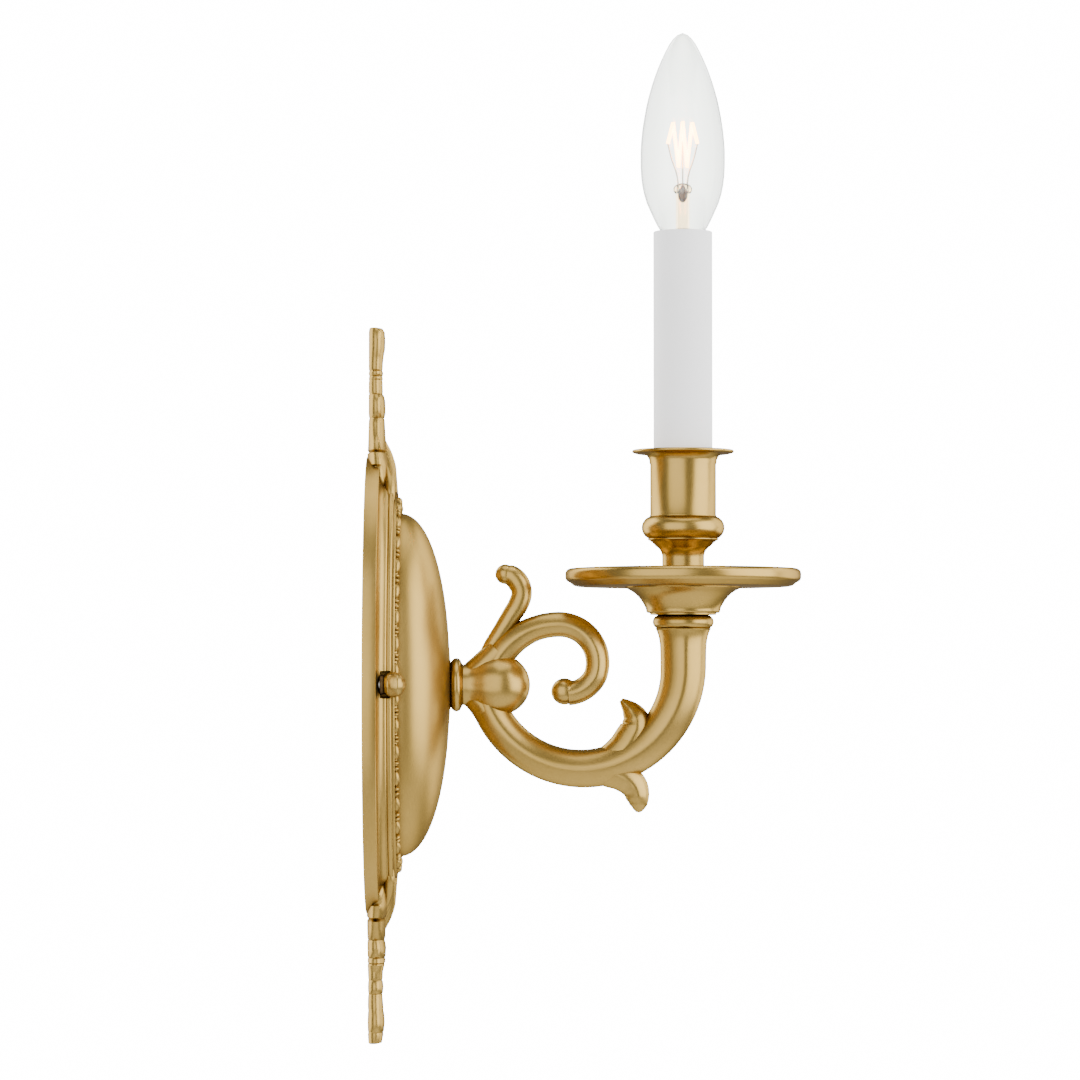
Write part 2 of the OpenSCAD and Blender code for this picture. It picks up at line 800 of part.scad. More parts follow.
// Radius shares and height shares of the glass, from its neck to its tip
BULB_SHAPE = [
    [0.40, 0.03], [0.62, 0.105], [0.83, 0.2], [0.96, 0.29], [1, 0.37], [1, 0.44],
    [0.95, 0.56], [0.87, 0.66], [0.74, 0.77], [0.56, 0.87], [0.34, 0.95], [0.14, 0.99]
];

module bulb_form(wall) {
    h = bulb_z1 - glass_z0 - 2 * wall;
    translate([0, wall]) polygon([
        [0, 0], [neck_r - wall, 0],
        for (p = BULB_SHAPE) [bulb_r * p[0] - wall * (1 - p[1] * p[1] * 0.8), h * p[1]],
        [0, h]
    ]);
}

module bulb_glass() {
    color([0.9, 0.95, 1, 0.4]) translate([reach, 0, glass_z0]) rotate_extrude() difference() {
        bulb_form(0);
        bulb_form(1);
    }
}

module bulb_base() {
    color("gold") on_candle_axis() difference() {
        z_tube(base_r, bulb_z0 + 3.4, glass_z0 + 0.1);
        z_tube(base_r - 0.4, bulb_z0 + 3.8, glass_z0 + 2);
        z_tube(3, bulb_z0 + 3, bulb_z0 + 5);
    }
}

module bulb_insulator() {
    color("black") on_candle_axis() difference() {
        union() {
            translate([0, 0, bulb_z0 + 1]) cylinder(r1 = 2.8, r2 = base_r - 0.7, h = 2.4);
            z_tube(3, bulb_z0 + 3.4, bulb_z0 + 4.6);
        }
        z_tube(1.2, bulb_z0, bulb_z0 + 6);
    }
}

module bulb_contact() {
    color("silver") on_candle_axis() {
        z_tube(2.2, bulb_z0, bulb_z0 + 1);
        z_tube(1.2, bulb_z0 + 1 - eps, bulb_z0 + 4);
    }
}

stem_top = glass_z0 + 24;

module bulb_stem() {
    color([0.9, 0.9, 1, 0.5]) on_candle_axis() {
        translate([0, 0, glass_z0 + 1.2]) cylinder(r1 = 4.2, r2 = 2.6, h = 6);
        z_tube(2.6, glass_z0 + 7, stem_top - 2);
        translate([0, 0, stem_top - 2]) scale([1.5, 0.8, 1]) sphere(r = 2.4);
    }
}

module bulb_supports() {
    color("silver") on_candle_axis() for (side = [-1, 1])
        translate([side * 1.6, 0, stem_top - 1.4]) rotate([0, side * 12, 0])
            cylinder(r = 0.3, h = 24);
}

module bulb_filament() {
    // an open hairpin that hangs between the supports
    top_z = stem_top + 24;
    half = 7;
    color("orange") on_candle_axis() {
        for (side = [-1, 1]) translate([side * half, 0, top_z - 2])
            rotate([0, side * -12, 0]) translate([0, 0, -10]) cylinder(r = 0.35, h = 12);
        translate([-half, 0, top_z]) rotate([0, 90, 0]) cylinder(r = 0.35, h = 2 * half);
    }
}

// Ball nuts and washers
module nut_washer(side) {
    x0 = nut_seat_x;
    color("darkgoldenrod") translate([0, side * stud_y, 0]) difference() {
        x_tube(nut_washer_r, x0, x0 + nut_washer_t);
        x_tube(stud_r + 0.2, x0 - 1, x0 + nut_washer_t + 1);
    }
}

module ball_nut(side) {
    x0 = nut_seat_x + nut_washer_t;
    ball_up = ball_nut_r * 0.72;
    color("goldenrod") translate([x0, side * stud_y, 0]) rotate([0, 90, 0]) rotate_extrude() difference() {
        union() {
            translate([0, ball_up]) circle(r = ball_nut_r);
            translate([0, ball_up - 1.4]) square([ball_nut_r + 0.1, 2.8]);
        }
        translate([-3 * ball_nut_r, -ball_nut_r]) square([3 * ball_nut_r, 4 * ball_nut_r]);
        translate([0, -ball_nut_r]) square([2 * ball_nut_r, ball_nut_r]);
        translate([-1, -1]) square([1 + stud_r + 0.05, 6.6]);
    }
}

module left_washer() { nut_washer(-1); }
module right_washer() { nut_washer(1); }
module left_ball_nut() { ball_nut(-1); }
module right_ball_nut() { ball_nut(1); }

crossbar();
plate_studs();
stud_nuts();
ground_screw();
backplate();
bead_ring();
dome();
arm_nipple();
nipple_washer();
nipple_nut();
arm_collar();
arm();
scroll();
tip_nipple();
bobeche_seat();
bobeche();
candle_cup();
cup_nut();
socket_bracket();
socket_body();
socket_shell();
socket_contact();
terminal_screws();
hot_lead();
neutral_lead();
ground_lead();
wire_connectors();
candle_sleeve();
bulb_base();
bulb_insulator();
bulb_contact();
bulb_glass();
bulb_stem();
bulb_supports();
bulb_filament();
left_washer();
left_ball_nut();
right_washer();
right_ball_nut();
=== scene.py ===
# %% [markdown]
# # An electric candle wall sconce in brass
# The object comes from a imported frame: every part is already there, at its size and place, in metres. +X
# points out from the wall, +Z up along the candle, and +Y to the right as seen from the room. We only add
# looks: finer meshes for the pieces that show, and a material for each finish.

# %% Load the frame
import math
import bpy
from mathutils import Matrix, Vector


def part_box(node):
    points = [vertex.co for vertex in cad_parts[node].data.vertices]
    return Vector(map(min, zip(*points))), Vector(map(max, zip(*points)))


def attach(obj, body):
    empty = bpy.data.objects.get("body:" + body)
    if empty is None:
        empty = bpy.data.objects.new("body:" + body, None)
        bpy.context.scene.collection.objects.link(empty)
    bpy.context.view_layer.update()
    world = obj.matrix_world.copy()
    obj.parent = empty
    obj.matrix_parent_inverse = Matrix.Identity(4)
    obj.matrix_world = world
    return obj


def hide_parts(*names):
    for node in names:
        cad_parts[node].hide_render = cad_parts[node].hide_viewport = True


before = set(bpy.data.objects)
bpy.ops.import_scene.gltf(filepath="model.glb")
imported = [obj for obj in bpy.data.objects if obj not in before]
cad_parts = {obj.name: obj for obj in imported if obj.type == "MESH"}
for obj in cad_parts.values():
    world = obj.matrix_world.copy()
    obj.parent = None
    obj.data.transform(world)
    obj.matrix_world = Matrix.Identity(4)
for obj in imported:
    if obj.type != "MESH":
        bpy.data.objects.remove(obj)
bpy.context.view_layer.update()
MM = 0.001
print("nodes in the frame:", len(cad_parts))

# %% [markdown]
# ## Places read from the frame
# Each piece is placed by the box of the part it belongs to, so nothing here has to be fitted by eye. Sizes
# below are in millimetres, because that is how a brass founder would write them.

# %% Read the main places


def box_mm(node):
    low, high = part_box(node)
    return [v / MM for v in low], [v / MM for v in high]


plate_lo, plate_hi = box_mm("backplate")
collar_lo, collar_hi = box_mm("arm_collar")
ARM_TOP = box_mm("arm")[1][2]
seat_lo, seat_hi = box_mm("bobeche_seat")
pan_lo, pan_hi = box_mm("bobeche")
cup_lo, cup_hi = box_mm("candle_cup")
sleeve_lo, sleeve_hi = box_mm("candle_sleeve")
glass_lo, glass_hi = box_mm("bulb_glass")
nut_lo, nut_hi = box_mm("left_ball_nut")

CANDLE_X = (sleeve_lo[0] + sleeve_hi[0]) / 2
print("candle axis at x =", round(CANDLE_X, 1), "mm from the wall")

# %% [markdown]
# ## The camera and the studio
# The sconce is seen exactly from its side, from about a metre and a half away, so the camera stands level
# with the plate's centre and tilts up a little to take in the bulb. The room is white, but polished metal
# only looks like metal when it has something dark to reflect. So the world is white to the eye and dim to
# the reflections, and large soft lights draw the bright bands.

# %% Camera
camera_data = bpy.data.cameras.new("camera")
camera_data.lens = 141.7
camera_data.sensor_width = 36.0
camera_data.clip_end = 60.0
camera = bpy.data.objects.new("camera", camera_data)
bpy.context.scene.collection.objects.link(camera)
camera.location = (0.0651, -1.6, 0.0)
camera.rotation_euler = (math.radians(90 + 1.95), 0.0, 0.0)
bpy.context.scene.camera = camera
print("camera at", tuple(round(v, 3) for v in camera.location))

# %% World
world = bpy.data.worlds.new("studio")
bpy.context.scene.world = world
world.use_nodes = True
sky = world.node_tree
sky.nodes.clear()
sky_out = sky.nodes.new("ShaderNodeOutputWorld")
sky_mix = sky.nodes.new("ShaderNodeMixShader")
seen = sky.nodes.new("ShaderNodeBackground")
seen.inputs["Color"].default_value = (1, 1, 1, 1)
seen.inputs["Strength"].default_value = 16.0
mirrored = sky.nodes.new("ShaderNodeBackground")
mirrored.inputs["Color"].default_value = (0.96, 0.97, 1.0, 1)
mirrored.inputs["Strength"].default_value = 0.26
through = sky.nodes.new("ShaderNodeBackground")
through.inputs["Color"].default_value = (0.97, 1.0, 0.96, 1)
through.inputs["Strength"].default_value = 5.4
ray = sky.nodes.new("ShaderNodeLightPath")
glass_mix = sky.nodes.new("ShaderNodeMixShader")
sky.links.new(ray.outputs["Is Camera Ray"], sky_mix.inputs["Fac"])
sky.links.new(ray.outputs["Is Transmission Ray"], glass_mix.inputs["Fac"])
sky.links.new(mirrored.outputs[0], glass_mix.inputs[1])
sky.links.new(through.outputs[0], glass_mix.inputs[2])
sky.links.new(glass_mix.outputs[0], sky_mix.inputs[1])
sky.links.new(seen.outputs[0], sky_mix.inputs[2])
sky.links.new(sky_mix.outputs[0], sky_out.inputs["Surface"])

# %% Soft lights
CENTRE = Vector((0.07, 0.0, 0.05))


def soft_light(name, place, width, height, power):
    """A rectangular light that looks at the middle of the sconce."""
    data = bpy.data.lights.new(name, "AREA")
    data.shape = "RECTANGLE"
    data.size = width
    data.size_y = height
    data.energy = power
    light = bpy.data.objects.new(name, data)
    light.location = place
    light.rotation_euler = (CENTRE - Vector(place)).to_track_quat("-Z", "Y").to_euler()
    bpy.context.scene.collection.objects.link(light)


soft_light("left_front", (-0.75, -1.85, 0.25), 2.3, 2.6, 33.0)
soft_light("right_front", (1.95, -0.70, 0.45), 2.3, 2.6, 66.0)
soft_light("overhead", (0.2, -0.2, 1.9), 1.6, 1.6, 15.0)
soft_light("back_left", (-1.3, 0.9, 0.4), 1.6, 2.4, 40.0)
soft_light("back_right", (1.6, 1.1, 0.4), 1.4, 2.2, 24.0)

# %% Floor
FLOOR_Z = -1.5
bpy.ops.object.select_all(action="DESELECT")
bpy.ops.mesh.primitive_plane_add(size=7, location=(0, 0, FLOOR_Z))
floor = bpy.context.object
floor.name = "floor"
floor_look = bpy.data.materials.new("pale_floor")
floor_look.use_nodes = True
floor_look.node_tree.nodes["Principled BSDF"].inputs["Base Color"].default_value = (0.86, 0.86, 0.86, 1)
floor_look.node_tree.nodes["Principled BSDF"].inputs["Roughness"].default_value = 0.7
floor.data.materials.append(floor_look)

# %% [markdown]
# ## Finishes
# Old brass is never one colour. Its lacquer yellows unevenly, its recesses keep dark polish, and the lathe
# or the brush leaves fine lines. Two small node groups give those effects, so each material can mix them
# its own way.

# %% A helper for node groups


def new_group(name, inputs, outputs):
    """An empty shader group with named sockets: each is (name, kind, default)."""
    group = bpy.data.node_groups.new(name, "ShaderNodeTree")
    for label, kind, default in inputs:
        socket = group.interface.new_socket(label, in_out="INPUT", socket_type=kind)
        if default is not None:
            socket.default_value = default
    for label, kind in outputs:
        group.interface.new_socket(label, in_out="OUTPUT", socket_type=kind)
    return group, group.nodes.new("NodeGroupInput"), group.nodes.new("NodeGroupOutput")


FLOAT, COLOUR, VECTOR = "NodeSocketFloat", "NodeSocketColor", "NodeSocketVector"

# %% Patina and painted shade: dark polish in the recesses of the brass, paler metal where it is rubbed; on the plastics the same recess darkening is painted shade
patina_and_shade, p_in, p_out = new_group(
    "patina_and_shade",
    [("Metal", COLOUR, (0.6, 0.4, 0.2, 1)), ("Recess", COLOUR, (0.2, 0.12, 0.05, 1)),
     ("Tone", COLOUR, (0.7, 0.5, 0.3, 1)), ("Reach", FLOAT, 0.004), ("Depth", FLOAT, 0.8),
     ("Cloud size", FLOAT, 40.0)],
    [("Color", COLOUR)],
)
p_coord = patina_and_shade.nodes.new("ShaderNodeTexCoord")
p_noise = patina_and_shade.nodes.new("ShaderNodeTexNoise")
p_noise.inputs["Detail"].default_value = 5.0
p_noise.inputs["Roughness"].default_value = 0.6
p_ramp = patina_and_shade.nodes.new("ShaderNodeMapRange")
p_ramp.inputs["From Min"].default_value = 0.38
p_ramp.inputs["From Max"].default_value = 0.66
p_tone = patina_and_shade.nodes.new("ShaderNodeMix")
p_tone.data_type = "RGBA"
p_hide = patina_and_shade.nodes.new("ShaderNodeAmbientOcclusion")
p_hide.samples = 8
p_inv = patina_and_shade.nodes.new("ShaderNodeMath")
p_inv.operation = "SUBTRACT"
p_inv.inputs[0].default_value = 1.0
p_deep = patina_and_shade.nodes.new("ShaderNodeMath")
p_deep.operation = "MULTIPLY"
p_deep.use_clamp = True
p_dark = patina_and_shade.nodes.new("ShaderNodeMix")
p_dark.data_type = "RGBA"
link = patina_and_shade.links.new
link(p_coord.outputs["Object"], p_noise.inputs["Vector"])
link(p_in.outputs["Cloud size"], p_noise.inputs["Scale"])
link(p_noise.outputs["Fac"], p_ramp.inputs["Value"])
link(p_ramp.outputs[0], p_tone.inputs["Factor"])
link(p_in.outputs["Metal"], p_tone.inputs["A"])
link(p_in.outputs["Tone"], p_tone.inputs["B"])
link(p_in.outputs["Reach"], p_hide.inputs["Distance"])
link(p_hide.outputs["AO"], p_inv.inputs[1])
link(p_inv.outputs[0], p_deep.inputs[0])
link(p_in.outputs["Depth"], p_deep.inputs[1])
link(p_deep.outputs[0], p_dark.inputs["Factor"])
link(p_tone.outputs["Result"], p_dark.inputs["A"])
link(p_in.outputs["Recess"], p_dark.inputs["B"])
link(p_dark.outputs["Result"], p_out.inputs["Color"])

# %% Tool marks: fine lines left by a brush or a lathe, as a height and a change of gloss
marks, m_in, m_out = new_group(
    "tool_marks",
    [("Stretch", VECTOR, (1, 1, 1)), ("Size", FLOAT, 600.0), ("Gloss", FLOAT, 0.3), ("Swing", FLOAT, 0.1)],
    [("Height", FLOAT), ("Roughness", FLOAT)],
)
m_coord = marks.nodes.new("ShaderNodeTexCoord")
m_scale = marks.nodes.new("ShaderNodeVectorMath")
m_scale.operation = "MULTIPLY"
m_noise = marks.nodes.new("ShaderNodeTexNoise")
m_noise.inputs["Detail"].default_value = 3.0
m_wide = marks.nodes.new("ShaderNodeTexNoise")
m_wide.inputs["Scale"].default_value = 55.0
m_wide.inputs["Detail"].default_value = 4.0
m_mid = marks.nodes.new("ShaderNodeMath")
m_mid.operation = "ADD"
m_swing = marks.nodes.new("ShaderNodeMath")
m_swing.operation = "MULTIPLY_ADD"
m_shift = marks.nodes.new("ShaderNodeMath")
m_shift.operation = "SUBTRACT"
m_shift.inputs[1].default_value = 1.0
link = marks.links.new
link(m_coord.outputs["Object"], m_scale.inputs[0])
link(m_in.outputs["Stretch"], m_scale.inputs[1])
link(m_scale.outputs[0], m_noise.inputs["Vector"])
link(m_in.outputs["Size"], m_noise.inputs["Scale"])
link(m_coord.outputs["Object"], m_wide.inputs["Vector"])
link(m_noise.outputs["Fac"], m_mid.inputs[0])
link(m_wide.outputs["Fac"], m_mid.inputs[1])
link(m_mid.outputs[0], m_shift.inputs[0])
link(m_shift.outputs[0], m_swing.inputs[0])
link(m_in.outputs["Swing"], m_swing.inputs[1])
link(m_in.outputs["Gloss"], m_swing.inputs[2])
link(m_noise.outputs["Fac"], m_out.inputs["Height"])
link(m_swing.outputs[0], m_out.inputs["Roughness"])
print("groups:", [g.name for g in bpy.data.node_groups])

# %% [markdown]
# The brass materials differ in how they were worked. A casting is grainy and keeps dark polish in its
# hollows. A spun or turned piece carries rings round its axis, so its marks are stretched across that axis.

# %% Brass materials


def brass(name, metal, recess, tone, stretch, size, gloss, swing, height, cloud=40.0):
    """A satin brass: patina for the colour, tool marks for gloss and relief."""
    look = bpy.data.materials.new(name)
    look.use_nodes = True
    tree = look.node_tree
    shader = tree.nodes["Principled BSDF"]
    shader.inputs["Metallic"].default_value = 1.0
    shader.inputs["Specular IOR Level"].default_value = 0.5
    shader.inputs["Specular Tint"].default_value = (0.62, 0.56, 0.50, 1)
    colour = tree.nodes.new("ShaderNodeGroup")
    colour.node_tree = patina_and_shade
    colour.inputs["Metal"].default_value = (*metal, 1)
    colour.inputs["Recess"].default_value = (*recess, 1)
    colour.inputs["Tone"].default_value = (*tone, 1)
    colour.inputs["Cloud size"].default_value = cloud
    tool = tree.nodes.new("ShaderNodeGroup")
    tool.node_tree = marks
    tool.inputs["Stretch"].default_value = stretch
    tool.inputs["Size"].default_value = size
    tool.inputs["Gloss"].default_value = gloss
    tool.inputs["Swing"].default_value = swing
    bump = tree.nodes.new("ShaderNodeBump")
    bump.inputs["Strength"].default_value = 0.35
    bump.inputs["Distance"].default_value = height
    tree.links.new(colour.outputs["Color"], shader.inputs["Base Color"])
    tree.links.new(tool.outputs["Roughness"], shader.inputs["Roughness"])
    tree.links.new(tool.outputs["Height"], bump.inputs["Height"])
    tree.links.new(bump.outputs["Normal"], shader.inputs["Normal"])
    return look


METAL = (0.515, 0.331, 0.080)
TONE = (0.570, 0.372, 0.098)
RECESS = (0.11, 0.068, 0.022)
cast_brass = brass("cast_brass", METAL, RECESS, TONE, (1, 1, 1), 900.0, 0.31, 0.06, 0.00001)
plate_brass = brass("plate_brass", METAL, RECESS, TONE, (6, 6, 0.5), 500.0, 0.34, 0.06, 0.00001)
spun_brass = brass("spun_brass", METAL, RECESS, TONE, (0.5, 1, 6), 420.0, 0.38, 0.03, 0.000006, cloud=18.0)
turned_brass = brass("turned_brass", METAL, RECESS, TONE, (0.12, 0.12, 4), 520.0, 0.29, 0.05, 0.00001)
nut_brass = brass("nut_brass", (0.48, 0.315, 0.085), (0.05, 0.03, 0.015), (0.54, 0.36, 0.10), (1, 1, 1),
                  900.0, 0.30, 0.1, 0.00002)
# The washers are brass painted near black: painted shade for the shadow and gap under each nut.
dark_brass = brass("dark_brass", (0.09, 0.055, 0.025), (0.03, 0.02, 0.01), (0.14, 0.09, 0.04), (1, 1, 1),
                   700.0, 0.45, 0.15, 0.00003)
contact_brass = brass("contact_brass", (0.78, 0.57, 0.25), (0.3, 0.2, 0.08), (0.70, 0.48, 0.2), (0.2, 0.2, 3),
                      600.0, 0.25, 0.1, 0.00002)
steel = brass("plated_steel", (0.62, 0.60, 0.55), (0.2, 0.18, 0.15), (0.55, 0.55, 0.52), (0.3, 3, 3), 500.0,
              0.34, 0.14, 0.00003)
copper = brass("bare_copper", (0.80, 0.40, 0.25), (0.25, 0.1, 0.05), (0.72, 0.33, 0.18), (1, 1, 1), 600.0,
               0.30, 0.1, 0.00002)
wire_steel = brass("support_wire", (0.30, 0.27, 0.24), (0.1, 0.1, 0.1), (0.36, 0.33, 0.30), (1, 1, 1), 600.0,
                   0.35, 0.1, 0.00001)

# %% [markdown]
# The candle sleeve is a matt white tube, and a faint mottling and a very fine grain keep it from looking like
# cut paper. A little emission keeps it nearly as bright as the white room. The plastics inside are moulded,
# with the same grain.

# %% Plastic materials
GRAIN_SIZE, GRAIN_HEIGHT = 700.0, 0.00002


def moulded(name, base, shade, gloss, glow=0.0):
    """Plastic, paint or ceramic: two close shades in soft clouds, painted shade in the recesses, and a fine
    grain.
    """
    look = bpy.data.materials.new(name)
    look.use_nodes = True
    tree = look.node_tree
    shader = tree.nodes["Principled BSDF"]
    shader.inputs["Subsurface Weight"].default_value = 0.0
    colour = tree.nodes.new("ShaderNodeGroup")
    colour.node_tree = patina_and_shade
    colour.inputs["Metal"].default_value = (*base, 1)
    colour.inputs["Tone"].default_value = (*shade, 1)
    # Recess and Depth paint shade: the plastic darkens towards 0.6 of its colour where ambient occlusion
    # finds a recess.
    colour.inputs["Recess"].default_value = (*[v * 0.6 for v in shade], 1)
    colour.inputs["Depth"].default_value = 0.4
    colour.inputs["Reach"].default_value = 0.003
    tool = tree.nodes.new("ShaderNodeGroup")
    tool.node_tree = marks
    tool.inputs["Size"].default_value = GRAIN_SIZE
    tool.inputs["Gloss"].default_value = gloss
    tool.inputs["Swing"].default_value = 0.12
    bump = tree.nodes.new("ShaderNodeBump")
    bump.inputs["Strength"].default_value = 0.4
    bump.inputs["Distance"].default_value = GRAIN_HEIGHT
    tree.links.new(colour.outputs["Color"], shader.inputs["Base Color"])
    tree.links.new(tool.outputs["Roughness"], shader.inputs["Roughness"])
    tree.links.new(tool.outputs["Height"], bump.inputs["Height"])
    tree.links.new(bump.outputs["Normal"], shader.inputs["Normal"])
    if glow:
        shader.inputs["Emission Strength"].default_value = glow
        tree.links.new(colour.outputs["Color"], shader.inputs["Emission Color"])
    return look


# The sleeve's emission is painted light: it is no lamp, and glows only to stay as bright as the white room.
white_sleeve = moulded("white_sleeve", (0.88, 0.88, 0.88), (0.86, 0.86, 0.86), 0.55, glow=1.1)
phenolic = moulded("dark_phenolic", (0.035, 0.028, 0.025), (0.055, 0.04, 0.03), 0.4)
black_cover = moulded("black_insulation", (0.012, 0.012, 0.012), (0.02, 0.02, 0.02), 0.45)
white_cover = moulded("white_insulation", (0.75, 0.75, 0.72), (0.70, 0.70, 0.66), 0.45)
orange_cap = moulded("orange_plastic", (0.80, 0.20, 0.02), (0.72, 0.16, 0.015), 0.35)
green_screw = moulded("green_steel", (0.03, 0.25, 0.07), (0.02, 0.20, 0.05), 0.35)
vitrite = moulded("black_glass", (0.015, 0.015, 0.02), (0.02, 0.02, 0.03), 0.15)
solder = moulded("solder", (0.55, 0.55, 0.55), (0.45, 0.45, 0.45), 0.35)
hot_wire = moulded("glowing_filament", (1.0, 0.50, 0.16), (1.0, 0.42, 0.1), 0.5, glow=90.0)

# %% [markdown]
# Clear glass is a shader, not a colour. Its ripples come from a very low bump, so that it is not a perfect
# tube.

# %% Glass materials


def clear_glass(name, tint, gloss, ripple, edge):
    """Glass whose tint is darkened where it is seen edge on, a painted shade: edge is the share of the tint
    left there.
    """
    look = bpy.data.materials.new(name)
    look.use_nodes = True
    tree = look.node_tree
    shader = tree.nodes["Principled BSDF"]
    # Layer Weight darkens the tint towards the silhouette: painted edge shade.
    facing = tree.nodes.new("ShaderNodeLayerWeight")
    facing.inputs["Blend"].default_value = 0.24
    painted_edge_shade = tree.nodes.new("ShaderNodeMix")
    painted_edge_shade.data_type = "RGBA"
    painted_edge_shade.inputs["A"].default_value = (*tint, 1)
    painted_edge_shade.inputs["B"].default_value = (*[v * edge for v in tint], 1)
    tree.links.new(facing.outputs["Facing"], painted_edge_shade.inputs["Factor"])
    tree.links.new(painted_edge_shade.outputs["Result"], shader.inputs["Base Color"])
    shader.inputs["Transmission Weight"].default_value = 1.0
    shader.inputs["IOR"].default_value = 1.47
    shader.inputs["Specular IOR Level"].default_value = 0.12
    coord = tree.nodes.new("ShaderNodeTexCoord")
    noise = tree.nodes.new("ShaderNodeTexNoise")
    noise.inputs["Scale"].default_value = 60.0
    gloss_range = tree.nodes.new("ShaderNodeMapRange")
    gloss_range.inputs["To Min"].default_value = gloss
    gloss_range.inputs["To Max"].default_value = gloss + 0.03
    bump = tree.nodes.new("ShaderNodeBump")
    bump.inputs["Strength"].default_value = 0.15
    bump.inputs["Distance"].default_value = ripple
    tree.links.new(coord.outputs["Object"], noise.inputs["Vector"])
    tree.links.new(noise.outputs["Fac"], gloss_range.inputs["Value"])
    tree.links.new(gloss_range.outputs[0], shader.inputs["Roughness"])
    tree.links.new(noise.outputs["Fac"], bump.inputs["Height"])
    tree.links.new(bump.outputs["Normal"], shader.inputs["Normal"])
    return look


# Both glasses get a painted shade along their silhouettes; the last value is how much tint is left there.
bulb_clear = clear_glass("clear_glass", (0.99, 1.0, 0.98), 0.0, 0.0004, 0.10)
stem_clear = clear_glass("stem_glass", (0.97, 0.72, 0.42), 0.02, 0.0006, 0.4)
bead_dark = moulded("stem_bead", (0.05, 0.016, 0.006), (0.09, 0.028, 0.01), 0.6)
print("materials:", len(bpy.data.materials))

# %% [markdown]
# ## Turning a profile, as on a lathe
# A turned piece is drawn as half its outline and spun round its axis. In edit mode we begin with one point
# and extrude it along the outline, then Spin it all the way round and merge the seam.

# %% Lathe helpers


def alone(obj=None):
    """Leave object mode with only this object selected and active."""
    if bpy.context.object and bpy.context.object.mode != "OBJECT":
        bpy.ops.object.mode_set(mode="OBJECT")
    bpy.ops.object.select_all(action="DESELECT")
    if obj:
        obj.select_set(True)
        bpy.context.view_layer.objects.active = obj


def arc(cx, cy, r, start, end, steps=8):
    """Points on an arc, for an outline: angles in degrees, from the first axis to the second."""
    turns = [math.radians(start + (end - start) * i / steps) for i in range(steps + 1)]
    return [(cx + r * math.cos(t), cy + r * math.sin(t)) for t in turns]


def lathe(name, outline, along, centre, steps=96):
    """Spins an outline of (radius, height) in millimetres round the axis 'X' or 'Z' through centre."""
    alone()
    bpy.ops.mesh.primitive_plane_add(size=MM)
    obj = bpy.context.object
    obj.name = name

    def place(point):
        radius, height = point
        if along == "Z":
            return Vector((centre[0] + radius, centre[1], centre[2] + height)) * MM
        return Vector((centre[0] + height, centre[1], centre[2] + radius)) * MM

    bpy.ops.object.mode_set(mode="EDIT")
    bpy.ops.mesh.select_all(action="SELECT")
    bpy.ops.mesh.merge(type="CENTER")
    here = place(outline[0])
    bpy.ops.transform.translate(value=here)
    for point in outline[1:] + outline[:1]:
        there = place(point)
        bpy.ops.mesh.extrude_region_move(TRANSFORM_OT_translate={"value": there - here})
        here = there
    bpy.ops.mesh.select_all(action="SELECT")
    axis = (0, 0, 1) if along == "Z" else (1, 0, 0)
    bpy.ops.mesh.spin(steps=steps, angle=2 * math.pi, center=Vector(centre) * MM, axis=axis)
    bpy.ops.mesh.select_all(action="SELECT")
    bpy.ops.mesh.remove_doubles(threshold=0.00001)
    bpy.ops.mesh.normals_make_consistent(inside=False)
    bpy.ops.object.mode_set(mode="OBJECT")
    return obj


def finish_piece(obj, body, look, nodes, sharp=40.0):
    """Bake the place into the mesh, smooth it, give it its material, attach it to its body and hide the frame
    parts it replaces.
    """
    alone(obj)
    for modifier in list(obj.modifiers):
        bpy.ops.object.modifier_apply(modifier=modifier.name)
    bpy.ops.object.transform_apply(location=True, rotation=True, scale=True)
    bpy.ops.object.shade_smooth_by_angle(angle=math.radians(sharp))
    obj.data.materials.clear()
    obj.data.materials.append(look)
    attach(obj, body)
    if nodes:
        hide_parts(*nodes)
    print(obj.name, "-", len(obj.data.polygons), "faces")
    return obj


# %% [markdown]
# ## The candle cup
# The cup is turned from bar: a flared lip, a straight barrel, a round bulge between two fine grooves, and a
# neck that spreads again where it stands on the pan.

# %% Candle cup
CUP = (CANDLE_X, 0, 0)
cup_top = cup_hi[2]
cup_foot = cup_lo[2]
inner_r = (sleeve_hi[0] - sleeve_lo[0]) / 2 + 0.5
cup_floor = sleeve_lo[2]
bulge_z = cup_foot + 20.6
cup_outline = (
    [(5.0, cup_foot), (12.0, cup_foot), (11.6, cup_foot + 0.7)]
    + arc(7.9 + 4.2, cup_foot + 4.9, 4.2, 262, 180, 7)
    + [(7.9, cup_foot + 9.2)]
    + arc(7.9 + 4.6, cup_foot + 9.6, 4.6, 180, 118, 6)
    + [(11.6, bulge_z - 5.6), (12.9, bulge_z - 4.7), (13.3, bulge_z - 4.55), (13.35, bulge_z - 4.2)]
    + [(13.1, bulge_z - 3.9)]
    + arc(11.1, bulge_z, 4.5, -58, 58, 12)
    + [(13.1, bulge_z + 4.0), (12.6, bulge_z + 4.25), (12.55, bulge_z + 4.7), (12.4, bulge_z + 4.9)]
    + [(12.4, cup_top - 6.0), (12.7, cup_top - 5.0)]
    + arc(16.6, cup_top - 5.3, 4.0, 168, 112, 6)
    + [(17.4, cup_top - 1.9)]
    + arc(18.6, cup_top - 0.95, 0.6, -80, 90, 5)
    + [(16.8, cup_top - 0.25), (14.4, cup_top - 0.9), (inner_r, cup_top - 2.6)]
    + [(inner_r, cup_floor), (5.0, cup_floor)]
)
candle_cup = lathe("candle_cup_turned", cup_outline, "Z", CUP)
finish_piece(candle_cup, "sconce", turned_brass, ["candle_cup"])

# %% [markdown]
# ## The drip pan and its seat
# The pan is a spun disc with its rim rolled into a rounded band. Its seat below flares like a trumpet.

